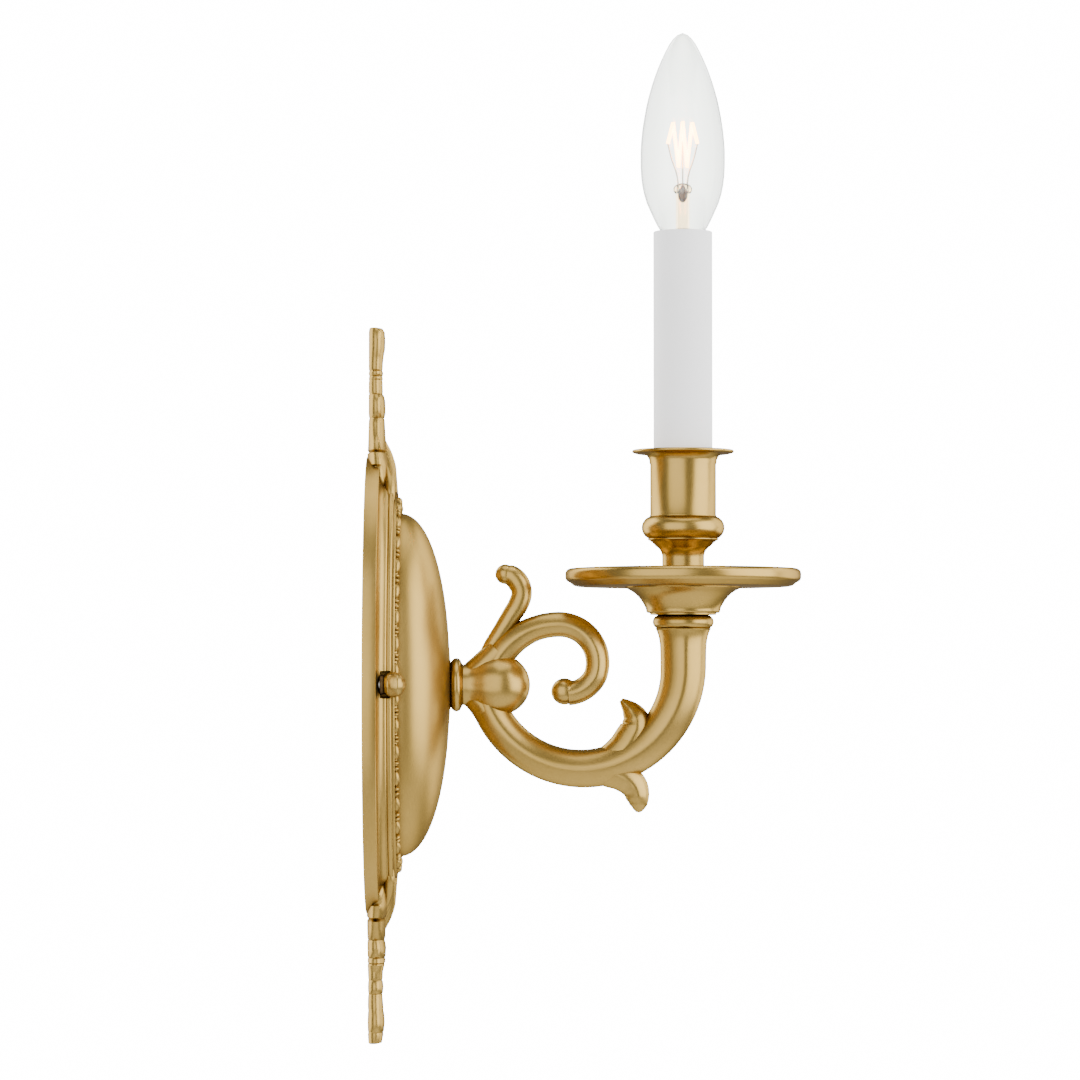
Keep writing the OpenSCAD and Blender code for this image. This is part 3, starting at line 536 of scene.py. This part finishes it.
# %% Drip pan and seat
pan_r = (pan_hi[0] - pan_lo[0]) / 2
pan_under = pan_lo[2]
pan_top = pan_hi[2]
rim_mid = (pan_top + pan_under + 1.4) / 2
pan_outline = (
    [(5.2, pan_under), (pan_r - 4.6, pan_under), (pan_r - 3.2, pan_under + 0.35)]
    + arc(pan_r - 2.0, rim_mid - 0.55, 2.0, -78, 0, 6)
    + arc(pan_r - 2.0, rim_mid + 0.7, 2.0, 0, 110, 7)
    + arc(pan_r - 4.6, rim_mid + 0.5, 1.5, 20, -60, 4)
    + [(pan_r - 7.0, pan_under + 2.6), (30, pan_under + 1.9), (16.0, pan_under + 1.7), (5.2, pan_under + 1.6)]
)
pan = lathe("drip_pan_spun", pan_outline, "Z", CUP, steps=128)
finish_piece(pan, "sconce", turned_brass, ["bobeche"])

seat_top = seat_hi[2]
seat_foot = seat_lo[2]
seat_outline = (
    [(5.2, seat_foot), (12.4, seat_foot), (12.5, seat_foot + 0.65), (13.3, seat_foot + 0.72)]
    + arc(13.2, seat_foot + 1.5, 0.75, -70, 10, 4)
    + [(14.2, seat_foot + 2.6), (14.9, seat_foot + 4.0), (15.7, seat_foot + 5.3), (16.7, seat_foot + 6.6)]
    + [(18.0, seat_foot + 7.9), (19.6, seat_foot + 9.0), (21.2, seat_foot + 9.8), (21.8, seat_foot + 10.2)]
    + [(21.8, seat_top), (5.2, seat_top)]
)
seat = lathe("pan_seat_turned", seat_outline, "Z", CUP)
finish_piece(seat, "sconce", turned_brass, ["bobeche_seat"])

# %% [markdown]
# ## The candle sleeve and the bulb
# The sleeve is a plain tube in life, so its detail is in its edges: a small round on each lip, as extruded
# plastic has when it is sawn and tumbled. The bulb is blown glass, thin and slightly uneven, drawn to a
# soft point.

# %% Sleeve
sleeve_r = (sleeve_hi[0] - sleeve_lo[0]) / 2
sleeve_foot, sleeve_top = sleeve_lo[2], sleeve_hi[2]
sleeve_outline = (
    [(sleeve_r - 0.8, sleeve_foot + 0.1), (sleeve_r - 0.2, sleeve_foot), (sleeve_r, sleeve_foot + 0.25)]
    + [(sleeve_r, sleeve_top - 0.45)]
    + arc(sleeve_r - 0.4, sleeve_top - 0.4, 0.4, 0, 180, 6)
    + [(sleeve_r - 0.8, sleeve_top - 1.0)]
)
sleeve = lathe("candle_sleeve_tube", sleeve_outline, "Z", CUP, steps=96)
finish_piece(sleeve, "sleeve", white_sleeve, ["candle_sleeve"])

# %% Bulb glass
glass_foot = glass_lo[2]
glass_tip = glass_hi[2]
glass_r = (glass_hi[0] - glass_lo[0]) / 2
GLASS_SHAPE = [
    (0.345, 0.0), (0.37, 0.02), (0.42, 0.045), (0.52, 0.075), (0.60, 0.10), (0.69, 0.135), (0.775, 0.172),
    (0.86, 0.21), (0.92, 0.25), (0.962, 0.29), (0.987, 0.33), (1.0, 0.375), (1.0, 0.45), (0.985, 0.495),
    (0.962, 0.54), (0.932, 0.58), (0.90, 0.617), (0.865, 0.654), (0.82, 0.692), (0.77, 0.728), (0.715, 0.764),
    (0.65, 0.802), (0.58, 0.838), (0.50, 0.875), (0.41, 0.912), (0.315, 0.947), (0.22, 0.973), (0.125, 0.99),
    (0.0, 1.0),
]


def glass_skin(inset):
    tall = glass_tip - glass_foot - 2 * inset
    return [(max(glass_r * r - inset, 0.0), glass_foot + inset + tall * z) for r, z in GLASS_SHAPE]


outer, inner = glass_skin(0.0), glass_skin(0.5)
glass_outline = outer + list(reversed(inner))
bulb_glass = lathe("bulb_glass_blown", glass_outline, "Z", CUP, steps=96)
finish_piece(bulb_glass, "bulb", bulb_clear, ["bulb_glass"], sharp=60)

# %% [markdown]
# ## Collar, washers and knurled ball nuts
# These are lathe work along X. The nut's middle carries fine grooves, cut while it was on the lathe.

# %% Arm collar
collar_r = (collar_hi[2] - collar_lo[2]) / 2
collar_outline = (
    [(5.1, collar_lo[0]), (8.6, collar_lo[0]), (8.9, collar_lo[0] + 0.25)]
    + arc(collar_r - 1.9, collar_lo[0] + 2.05, 1.9, -60, 75, 8)
    + [(7.9, collar_hi[0] - 0.35), (7.6, collar_hi[0]), (5.1, collar_hi[0])]
)
collar = lathe("arm_collar_turned", collar_outline, "X", (0, 0, 0))
finish_piece(collar, "sconce", turned_brass, ["arm_collar"])

# %% Ball nuts and washers
nut_r = (nut_hi[2] - nut_lo[2]) / 2
nut_mid = nut_lo[0] + nut_r * 0.72
GROOVE_STEP, GROOVE_DEEP = 0.225, 0.13


def ball_nut(name, node, body, y):
    """A turned ball: its middle carries fine grooves, so that fingers can grip it."""
    grooves = []
    for step in range(-8, 9):
        height = step * GROOVE_STEP
        skin = math.sqrt((nut_r - 0.02) ** 2 - height ** 2)
        grooves.append((skin - (GROOVE_DEEP if step % 2 else 0.0), nut_mid + height))
    outline = (
        [(2.1, nut_lo[0]), (3.0, nut_lo[0])] + arc(0, nut_mid, nut_r - 0.05, -46, -27, 4) + grooves
        + arc(0, nut_mid, nut_r - 0.05, 27, 90, 8)
    )
    back = [(0, nut_hi[0] - 1.6), (2.1, nut_hi[0] - 2.4)]
    nut = lathe(name, outline + back, "X", (0, y, 0), steps=80)
    return finish_piece(nut, body, nut_brass, [node], sharp=50)


def washer(name, node, body, y):
    lo, hi = box_mm(node)
    r = (hi[2] - lo[2]) / 2
    outline = [
        (2.25, lo[0]), (r - 0.2, lo[0]), (r, lo[0] + 0.2),
        (r, hi[0] - 0.35), (r - 0.35, hi[0]), (2.25, hi[0]),
    ]
    ring = lathe(name, outline, "X", (0, y, 0), steps=48)
    # The near-black finish is painted shade under the nut.
    return finish_piece(ring, body, dark_brass, [node])


STUD_Y = (nut_lo[1] + nut_hi[1]) / 2
for word, sign in (("left", 1), ("right", -1)):
    ball_nut(word + "_ball_nut_grooved", word + "_ball_nut", word + "_nut_body", sign * STUD_Y)
    washer(word + "_washer_turned", word + "_washer", word + "_washer_body", sign * STUD_Y)

# %% [markdown]
# ## Oval mouldings
# The plate, its ring and the dome are ovals, not rounds, so a lathe can't make them. We begin with one
# circle, stretch it into an oval, and then extrude and resize it ring by ring, as a raised moulding is
# built up.

# %% Oval helper


def oval_rings(name, rows, sides=144):
    """Extrudes an oval from row to row and closes it on itself: each row is (x, half height, half width)."""
    alone()
    x, tall, wide = rows[0]
    bpy.ops.mesh.primitive_circle_add(vertices=sides, radius=1.0, rotation=(0, math.pi / 2, 0))
    obj = bpy.context.object
    obj.name = name
    bpy.ops.object.transform_apply(location=False, rotation=True, scale=False)
    bpy.ops.object.mode_set(mode="EDIT")
    bpy.ops.mesh.select_all(action="SELECT")
    bpy.ops.transform.resize(value=(1, wide * MM, tall * MM), center_override=(0, 0, 0))
    bpy.ops.transform.translate(value=(x * MM, 0, 0))
    for x2, tall2, wide2 in rows[1:]:
        bpy.ops.mesh.extrude_region_move(TRANSFORM_OT_translate={"value": ((x2 - x) * MM, 0, 0)})
        bpy.ops.transform.resize(value=(1, wide2 / wide, tall2 / tall), center_override=(0, 0, 0))
        x, tall, wide = x2, tall2, wide2
    bpy.ops.mesh.select_all(action="DESELECT")
    bpy.ops.mesh.select_mode(type="VERT")
    bpy.ops.mesh.select_non_manifold()
    bpy.ops.mesh.bridge_edge_loops()
    bpy.ops.mesh.select_all(action="SELECT")
    bpy.ops.mesh.normals_make_consistent(inside=False)
    bpy.ops.object.mode_set(mode="OBJECT")
    return obj


def join(pieces, name):
    """Joins pieces into the first of them."""
    alone(pieces[0])
    for piece in pieces:
        piece.select_set(True)
    bpy.ops.object.join()
    pieces[0].name = name
    return pieces[0]


# %% [markdown]
# ## The backplate
# From the wall outwards: a rim with a soft edge, a hollow cove, a small round fillet, and the flat field on
# which the bead ring sits. The back is hollow, so the rows carry on inside until they meet the first one.

# %% Plate oval
A, B = (plate_hi[1] - plate_lo[1]) / 2 * 86 / 51, (plate_hi[1] - plate_lo[1]) / 2


def offset(x, inset):
    return (x, A - inset, B - inset)


plate_rows = (
    [offset(5.0, 2.5), offset(0.3, 2.5), offset(0.0, 2.2), offset(0.0, 0.35), offset(0.25, 0.05)]
    + [offset(0.7, 0.0), offset(2.4, 0.0), offset(4.5, 0.0), offset(5.0, 0.15), offset(5.2, 0.5)]
    + [offset(5.15, 0.95), offset(4.95, 1.15), offset(5.15, 1.5)]
    + [offset(5.15 + 3.2 * (1 - math.cos(math.radians(t))), 1.5 + 5.0 * math.sin(math.radians(t)))
       for t in (15, 30, 45, 60, 75, 88)]
    + [offset(8.45, 6.75), offset(8.75, 6.95)]
    + [offset(9.6 + 1.0 * math.sin(math.radians(t)), 7.6 - 0.62 * math.cos(math.radians(t)))
       for t in (-60, -30, 0, 30, 60, 90)]
    + [offset(10.45, 8.15), offset(10.15, 8.4), offset(10.1, 8.9), offset(10.35, 9.3), offset(10.6, 9.9)]
    + [(10.6, 70.0, 37.2), (10.6, 64.7, 32.1), (8.1, 64.7, 32.1), (8.1, 75.4, 40.4), (5.0, 75.4, 40.4)]
)
plate = oval_rings("plate_oval", plate_rows, sides=180)
print("plate rows:", len(plate_rows))

# %% [markdown]
# The cresting above and below is a slender cast finial. It is built from the tip inwards: an oval section
# is extruded along Z and resized at every row, so swellings, beads and soft grooves follow each other.

# %% Cresting helper


def finial(name, rows, sign):
    """Stacks oval sections along Z: each row is (height, half width, back, front), in millimetres."""
    alone()
    z, wide, back, front = rows[0]
    bpy.ops.mesh.primitive_circle_add(vertices=40, radius=1.0, fill_type="NGON")
    obj = bpy.context.object
    obj.name = name
    bpy.ops.object.mode_set(mode="EDIT")
    bpy.ops.mesh.select_all(action="SELECT")
    bpy.ops.transform.resize(value=((front - back) / 2 * MM, wide * MM, 1), center_override=(0, 0, 0))
    bpy.ops.transform.translate(value=((front + back) / 2 * MM, 0, sign * z * MM))
    for z2, wide2, back2, front2 in rows[1:]:
        step = ((front2 + back2 - front - back) / 2 * MM, 0, sign * (z2 - z) * MM)
        bpy.ops.mesh.extrude_region_move(TRANSFORM_OT_translate={"value": step})
        middle = ((front2 + back2) / 2 * MM, 0, sign * z2 * MM)
        ratio = ((front2 - back2) / (front - back), wide2 / wide, 1)
        bpy.ops.transform.resize(value=ratio, center_override=middle)
        z, wide, back, front = z2, wide2, back2, front2
    bpy.ops.mesh.select_all(action="SELECT")
    bpy.ops.mesh.normals_make_consistent(inside=False)
    bpy.ops.object.mode_set(mode="OBJECT")
    return obj


TOP = plate_hi[2]
shoulder = [
    (86.7, 15.5, 0.1, 7.8), (84.5, 16.8, 0.1, 8.4), (82.2, 18.0, 0.1, 9.0), (81.5, 17.2, 0.5, 9.2),
    (78, 19, 0.8, 9.8), (74, 17, 3, 9.8), (70, 12, 5, 9.0),
]
top_rows = [
    (TOP, 3.2, 1, 4.2), (TOP - 0.3, 4.6, 0.7, 5.7), (132.8, 5.6, 0.5, 6.6), (129.5, 6.1, 0.5, 6.8),
    (126.5, 6.2, 0.5, 6.7), (123.8, 5.2, 0.5, 6.2), (121, 4.4, 0.5, 5.9), (118.8, 4.8, 0.5, 5.8),
    (118.3, 4.52, 0.71, 5.65), (117.9, 5.1, 0.6, 5.9), (117.2, 5.3, 0.5, 6), (116.6, 5.1, 0.6, 5.9),
    (116.2, 4.7, 0.73, 5.65), (115.8, 5.1, 0.6, 5.8), (115.1, 5.2, 0.5, 5.9), (114.6, 4.73, 0.64, 5.69),
    (113.8, 4.8, 0.5, 5.8), (110.3, 5.5, 0.5, 5.9), (109.4, 5.21, 0.68, 5.83), (108.9, 5.9, 0.5, 6.3),
    (106.8, 7.2, 0.5, 6.8), (104.5, 7.4, 0.5, 6.9), (102.2, 7.3, 0.5, 6.9), (100.9, 6.4, 0.6, 6.6),
    (100.3, 5.83, 0.78, 6.33), (99.6, 6.3, 0.6, 6.6), (98, 6.7, 0.5, 6.7), (94, 7.7, 0.4, 6.9),
    (90, 10, 0.3, 7.2), (88, 13, 0.2, 7.5), (87.3, 12, 0.7, 7),
] + shoulder
low_rows = [
    (TOP, 3.4, 1, 4.4), (TOP - 0.4, 4.9, 0.7, 5.8), (131, 5.8, 0.5, 6.4), (130.2, 5.72, 0.64, 6.28),
    (129.5, 6.5, 0.5, 6.6), (126.5, 7.3, 0.4, 6.9), (123.2, 6.6, 0.5, 6.7), (122, 5.9, 0.64, 6.35),
    (121.2, 6, 0.5, 6.4), (118.4, 5.3, 0.5, 6.2), (116.5, 4.6, 0.6, 6), (115.9, 4.47, 0.78, 5.88),
    (115.3, 5.1, 0.6, 6.2), (113.2, 5.6, 0.5, 6.4), (111.3, 4.9, 0.6, 6.2), (110.7, 4.5, 0.78, 5.9),
    (110, 4.9, 0.6, 6.1), (107.5, 4.7, 0.5, 6.2), (105, 6.5, 0.4, 6.8), (104.5, 6.32, 0.58, 6.66),
    (104, 7.3, 0.4, 7.1), (102.8, 7.3, 0.4, 7.1), (102.3, 7.02, 0.58, 6.86), (101.6, 8.1, 0.4, 7.2),
    (98.5, 9.3, 0.3, 7.4), (96.3, 8.5, 0.3, 7), (95.5, 8.21, 0.53, 6.76), (94.7, 9.4, 0.3, 7.1),
    (91, 12, 0.2, 7.2), (88.3, 13.6, 0.2, 7.3), (87.5, 12, 0.7, 6.9),
] + shoulder
finials = [finial("finial_top", top_rows, 1), finial("finial_low", low_rows, -1)]

# %% [markdown]
# ## Bars and leaves
# The ornament is made of bars that swell and taper: ribs of the leaves, the scroll and the arm itself. Each
# is a curve whose points carry their own radius. Its section has a soft keel on both sides, as a casting
# has along the joint of its mould, and this keel is what splits the highlight into two.

# %% Bar helper


def section(name, keel, sides=28):
    """A closed outline for bars: a unit circle with a raised line towards +Y and -Y."""
    data = bpy.data.curves.new(name, "CURVE")
    data.dimensions = "2D"
    line = data.splines.new("POLY")
    line.points.add(sides - 1)
    line.use_cyclic_u = True
    for i, point in enumerate(line.points):
        turn = 2 * math.pi * i / sides
        near = min(abs(math.cos(turn) - 1), abs(math.cos(turn) + 1))
        r = 1 + keel * math.exp(-near / 0.03)
        point.co = (r * math.cos(turn), r * math.sin(turn), 0, 1)
    obj = bpy.data.objects.new(name, data)
    bpy.context.scene.collection.objects.link(obj)
    return obj


keeled = section("keeled_section", 0.07, 40)
plain = section("plain_section", 0.0, 20)


def bar(name, points, outline=plain, smooth=True):
    """Sweeps an outline through points (x, y, z, radius), in millimetres, with filled ends."""
    data = bpy.data.curves.new(name, "CURVE")
    data.dimensions = "3D"
    data.twist_mode = "MINIMUM"
    data.bevel_mode = "OBJECT"
    data.bevel_object = outline
    data.use_fill_caps = True
    data.resolution_u = 6
    line = data.splines.new("BEZIER" if smooth else "POLY")
    spots = line.bezier_points if smooth else line.points
    spots.add(len(points) - 1)
    for spot, (x, y, z, r) in zip(spots, points):
        spot.co = (x * MM, y * MM, z * MM) if smooth else (x * MM, y * MM, z * MM, 1)
        spot.radius = r * MM
        if smooth:
            spot.handle_left_type = spot.handle_right_type = "AUTO"
    obj = bpy.data.objects.new(name, data)
    bpy.context.scene.collection.objects.link(obj)
    alone(obj)
    bpy.ops.object.convert(target="MESH")
    return bpy.context.object


def ball(name, x, y, z, r, squash=(1, 1, 1)):
    alone()
    bpy.ops.mesh.primitive_uv_sphere_add(segments=32, ring_count=16, radius=r * MM,
                                         location=(x * MM, y * MM, z * MM), rotation=(math.pi / 2, 0, 0))
    obj = bpy.context.object
    obj.name = name
    bpy.ops.object.transform_apply(location=False, rotation=True, scale=False)
    obj.scale = squash
    bpy.ops.object.transform_apply(location=True, rotation=False, scale=True)
    return obj


# %% [markdown]
# An acanthus leaf covers each shoulder. Its flutes are ribs that rise from the finial, swell over the
# shoulder and sink again beside the bead ring.

# %% Shoulder leaves and plate assembly
ribs = []
for sign in (1, -1):
    for i in range(-4, 5):
        y = i * 4.3
        drop = abs(i) * 1.6
        ribs.append(bar("rib", [
            (6.2, 0.34 * y, sign * (91.5 - drop), 1.0), (7.9, 0.66 * y, sign * (86.5 - drop), 1.7),
            (9.0, 0.9 * y, sign * (81.5 - drop), 2.0), (9.1, y, sign * (76.0 - drop), 1.9),
            (8.6, 0.92 * y, sign * (72.4 - drop * 0.7), 1.4),
        ]))
POCKET_R = 5.1
pocket = []
for sign in (1, -1):
    alone()
    bpy.ops.mesh.primitive_cylinder_add(vertices=48, radius=POCKET_R * MM, depth=8 * MM,
                                        rotation=(0, math.pi / 2, 0),
                                        location=(10.6 * MM, sign * STUD_Y * MM, 0))
    pocket.append(bpy.context.object)
pockets = join(pocket, "stud_pockets")
cut = plate.modifiers.new("pockets", "BOOLEAN")
cut.operation = "DIFFERENCE"
cut.solver = "EXACT"
cut.object = pockets
alone(plate)
bpy.ops.object.modifier_apply(modifier="pockets")
bpy.data.objects.remove(pockets)
plate = join([plate] + finials + ribs, "backplate_cast")
finish_piece(plate, "sconce", plate_brass, ["backplate"], sharp=35)

# %% [markdown]
# ## The bead-and-reel ring
# Long beads and pairs of thin reels run round the dome in a shallow channel. We find the places by walking
# round the oval in equal steps, so the beads keep their spacing where the oval turns tightly.

# %% Bead ring
RING_A, RING_B = 69.0, 36.4
ring_rows = [
    (10.62, 72.6, 40.0), (11.2, 72.6, 40.0), (11.65, 72.3, 39.7), (11.7, 71.9, 39.3), (11.3, 71.4, 38.8),
    (11.0, 71.0, 38.4), (11.0, 67.0, 34.4), (11.4, 66.7, 34.1), (12.1, 66.5, 33.9), (12.4, 66.1, 33.5),
    (12.3, 65.7, 33.1), (11.9, 65.5, 32.9), (10.62, 65.5, 32.9),
]
channel = oval_rings("ring_channel", ring_rows, sides=180)
around = [(RING_A * math.cos(t), RING_B * math.sin(t)) for t in [2 * math.pi * i / 3600 for i in range(3601)]]
walked = [0.0]
for (z0, y0), (z1, y1) in zip(around, around[1:]):
    walked.append(walked[-1] + math.hypot(z1 - z0, y1 - y0))
PERIODS = 34
period = walked[-1] / PERIODS


def ring_place(distance):
    """The point of the oval at a distance walked along it, and the turn about X there."""
    i = min(range(0, 3600, 6), key=lambda k: abs(walked[k] - distance % walked[-1]))
    z, y = around[i]
    slope = math.atan2(RING_B * math.cos(2 * math.pi * i / 3600), -RING_A * math.sin(2 * math.pi * i / 3600))
    return z, y, slope


long_bead = ball("bead", 0, 0, 0, 1.0, (1.62, 1.62, 3.0))
reel = ball("reel", 0, 0, 0, 1.0, (1.5, 1.55, 0.8))
strung = []
for n in range(PERIODS):
    for shape, along in ((long_bead, 0.0), (reel, 0.41), (reel, 0.59)):
        z, y, slope = ring_place((n + along) * period)
        one = shape.copy()
        one.data = shape.data.copy()
        bpy.context.scene.collection.objects.link(one)
        one.matrix_world = Matrix.Translation((11.75 * MM, y * MM, z * MM)) @ Matrix.Rotation(-slope, 4, "X")
        strung.append(one)
bpy.data.objects.remove(long_bead)
bpy.data.objects.remove(reel)
ring = join([channel] + strung, "bead_and_reel_ring")
finish_piece(ring, "sconce", plate_brass, ["bead_ring"])

# %% [markdown]
# ## The dome
# The dome is a spun oval, fuller than a plain ellipsoid. Its rows follow a rounded curve from the wall to
# the nose, where the arm's collar sits.

# %% Dome
full_a, full_b = 64.5, 31.9
WALL = 1.6


def dome_skin(inset):
    rows = []
    for t in range(0, 76, 4):
        s, up = math.cos(math.radians(t)) ** 0.91, math.sin(math.radians(t)) ** 0.91
        rows.append((12.3 + (31.3 - inset - 12.3) * up, (full_a - inset) * s, (full_b - inset) * s))
    return rows


dome_rows = (
    [(6.6, 68.4, 35.8), (8.0, 68.4, 35.8), (8.0, full_a, full_b)] + dome_skin(0.0)
    + [(31.3, 9.4, 9.4), (31.5, 8.8, 8.8), (31.5, 5.2, 5.2), (29.7, 5.2, 5.2), (29.7, 8.4, 8.4)]
    + list(reversed(dome_skin(WALL))) + [(6.6, full_a - WALL, full_b - WALL)]
)
dome = oval_rings("dome_spun", dome_rows, sides=180)
finish_piece(dome, "sconce", spun_brass, ["dome"], sharp=40)

# %% [markdown]
# ## The arm
# The arm leaves the ball, swings down and round in one arc, and straightens into the riser under the
# candle. It swells a little on the way, and flares into a bead at the top. Two leaves grow out of the bend.

# %% Arm
BEND_X, BEND_Z, BEND_R = CANDLE_X - 38.0, 6.5, 38.0
BOSS_X, BALL_R = 50.1, 11.3


def bend(angle, r, grow=0.0):
    t = math.radians(angle)
    return (BEND_X + (BEND_R + grow) * math.cos(t), 0, BEND_Z + (BEND_R + grow) * math.sin(t), r)


arm_path = [bend(a, 6.6 + 2.0 * ((a - 196) / 164) ** 1.6) for a in range(196, 361, 4)]
arm_path += [(CANDLE_X, 0, z, r) for z, r in ((9.5, 8.62), (12.5, 8.68), (15, 8.8), (17, 9.05), (18.6, 9.4),
                                              (20.0, 9.9), (21.0, 10.3))]
swing = bar("arm_swing", arm_path, keeled, smooth=False)
tip = ARM_TOP
tip_bead = lathe("arm_tip", [(5.2, tip - 6.0), (9.9, tip - 6.0), (10.5, tip - 5.2)]
                 + arc(8.9, tip - 2.65, 2.6, -62, 62, 9)
                 + [(9.6, tip - 0.12), (9.0, tip), (5.2, tip)], "Z", CUP)
boss_outline = (
    [(5.1, 36.3), (7.7, 36.3), (7.75, 37.2), (7.7, 38.2), (7.95, 39.5), (8.6, 41.2), (9.4, 43.0)]
    + [(10.2, 44.8)]
    + [(BALL_R * math.sin(math.radians(t)), BOSS_X + BALL_R * math.cos(math.radians(t)))
       for t in range(112, -1, -8)]
    + [(0, 48), (5.1, 46)]
)
boss = lathe("arm_ball", boss_outline, "X", (0, 0, 0), steps=96)
outer_leaf = bar("leaf_outer", [
    (76.0, 0, -30.5, 4.0), (84.0, 0, -31.6, 5.4), (91.5, 0, -32.8, 5.9), (97.2, 0, -35.0, 5.7),
    (100.6, 0, -38.4, 5.2), (101.8, 0, -42.0, 4.5), (102.1, 0, -45.0, 3.4),
    (101.9, 0, -47.0, 1.9), (101.7, 0, -47.9, 0.7),
], keeled)
inner_leaf = bar("leaf_inner", [
    (80.0, 0, -31.4, 4.2), (88.0, 0, -29.8, 5.6), (94.6, 0, -25.6, 6.0), (99.0, 0, -20.4, 6.3),
    (101.2, 0, -15.6, 6.0), (100.8, 0, -12.2, 5.0), (99.2, 0, -9.4, 3.6), (97.2, 0, -7.2, 2.1),
    (95.6, 0, -5.7, 0.9),
], keeled)
heel = bar("arm_root", [
    (38.6, 0, -1.5, 6.0), (42.2, 0, -4.0, 6.5), (45.6, 0, -8.0, 6.7), (48.4, 0, -13.0, 6.6),
], plain)
arm = join([swing, boss, tip_bead, outer_leaf, inner_leaf, heel], "arm_cast")
finish_piece(arm, "sconce", cast_brass, ["arm"], sharp=50)

# %% [markdown]
# ## The scroll
# A second bar springs from the ball, sweeps over and curls in to a round knob. Beside it a smooth sprout
# follows its back and hooks away to the left with a blunt tip.

# %% Scroll
CURL_X, CURL_Z, CURL_R, SWEEP_R = 72.4, 8.3, 14.4, 27.2
SWEEP_Z = CURL_Z + CURL_R - SWEEP_R


def round_point(z, radius, angle, r):
    t = math.radians(angle)
    return (CURL_X + radius * math.cos(t), 0, z + radius * math.sin(t), r)


scroll_path = [
    round_point(SWEEP_Z, SWEEP_R, a, 4.75 + 1.1 * max(0, (a - 110) / 50)) for a in range(162, 90, -4)
]
scroll_path += [
    round_point(CURL_Z, CURL_R - 2.4 * max(0.0, (-20 - a) / 55) ** 1.2, a, 4.5 + 0.25 * max(a, 0) / 90)
    for a in range(90, -75, -4)
]
sweep = bar("scroll_bar", scroll_path, keeled, smooth=False)
knob = ball("scroll_knob", 74.3, 0, -2.5, 5.0, (1, 0.95, 1))
sprout = bar("scroll_sprout", [
    (43.4, 0, 8.0, 2.6), (46.6, 0, 14.0, 3.1), (50.4, 0, 19.8, 3.4), (54.2, 0, 25.8, 3.7),
    (57.2, 0, 30.8, 3.9), (58.2, 0, 34.8, 3.9), (57.1, 0, 38.2, 4.1), (54.7, 0, 40.8, 4.0),
    (52.6, 0, 41.6, 3.7),
], plain)
blunt_tip = ball("sprout_tip", 52.0, 0, 41.6, 3.75)
root = bar("scroll_root", [
    (38.6, 0, 1.5, 6.0), (42.0, 0, 4.2, 6.2), (46.0, 0, 8.2, 5.9), (49.8, 0, 12.2, 5.6),
], plain)
scroll = join([sweep, knob, sprout, blunt_tip, root], "scroll_cast")
finish_piece(scroll, "sconce", cast_brass, ["scroll"], sharp=50)

# %% [markdown]
# ## Inside the bulb
# A glass stem carries two wires, and between them a thin tungsten filament goes up and down. It is the only
# lamp; the sleeve's faint emission is painted light.

# %% Filament and supports
STEM = box_mm("bulb_stem")[1][2]
FIL = box_mm("bulb_filament")[1][2]
WIRE_R = 0.27
COIL_R = 0.5
TURNS, STEPS = 26, 6
supports = join([bar("support", [
    (CANDLE_X + side * 1.5, 0, STEM - 4, 0.32), (CANDLE_X + side * 2.2, 0, STEM + 3, 0.3),
    (CANDLE_X + side * 4.4, 0, STEM + 10, 0.28), (CANDLE_X + side * 5.6, 0, STEM + 15, 0.26),
]) for side in (-1, 1)] + [bar("middle_support", [
    (CANDLE_X, 0, STEM - 3, 0.3), (CANDLE_X, 0.3, STEM + 8, 0.26), (CANDLE_X, 0, FIL - 1.2, 0.24),
])], "bulb_support_wires")
finish_piece(supports, "bulb", wire_steel, ["bulb_supports"])
pinch = ball("stem_bead_dark", CANDLE_X, 0, STEM - 4.2, 1.0, (1.25, 1.15, 3.2))
finish_piece(pinch, "bulb", bead_dark, [])
zigzag = [
    (-5.6, STEM + 15), (-3.6, FIL - 1), (-1.6, STEM + 6), (0, FIL - 0.6), (1.6, STEM + 6), (3.6, FIL - 1),
    (5.6, STEM + 15),
]
coil = []
for (x0, z0), (x1, z1) in zip(zigzag, zigzag[1:]):
    for i in range(TURNS * STEPS):
        f = i / (TURNS * STEPS)
        t = 2 * math.pi * i / STEPS
        x = CANDLE_X + x0 + (x1 - x0) * f
        coil.append((x + COIL_R * math.cos(t), COIL_R * math.sin(t), z0 + (z1 - z0) * f, WIRE_R))
filament = bar("bulb_filament_coil", coil, section("wire_section", 0.0, STEPS), smooth=False)
finish_piece(filament, "bulb", hot_wire, ["bulb_filament"])
for name in ("keeled_section", "plain_section", "wire_section"):
    bpy.data.objects.remove(bpy.data.objects[name])

# %% [markdown]
# ## Finish

# %% Materials for the parts that stay as designed
KEPT = {
    "crossbar": steel, "plate_studs": steel, "stud_nuts": steel, "ground_screw": green_screw,
    "arm_nipple": steel, "nipple_washer": steel, "nipple_nut": steel, "tip_nipple": steel, "cup_nut": steel,
    "socket_bracket": steel, "socket_body": phenolic, "socket_shell": contact_brass,
    "socket_contact": contact_brass, "terminal_screws": contact_brass, "hot_lead": black_cover,
    "neutral_lead": white_cover, "ground_lead": copper, "wire_connectors": orange_cap,
    "bulb_base": contact_brass, "bulb_insulator": vitrite, "bulb_contact": solder, "bulb_stem": stem_clear,
}
for node, look in KEPT.items():
    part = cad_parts[node]
    for place in part.material_slots:
        place.material = look
print("kept parts:", len(KEPT))
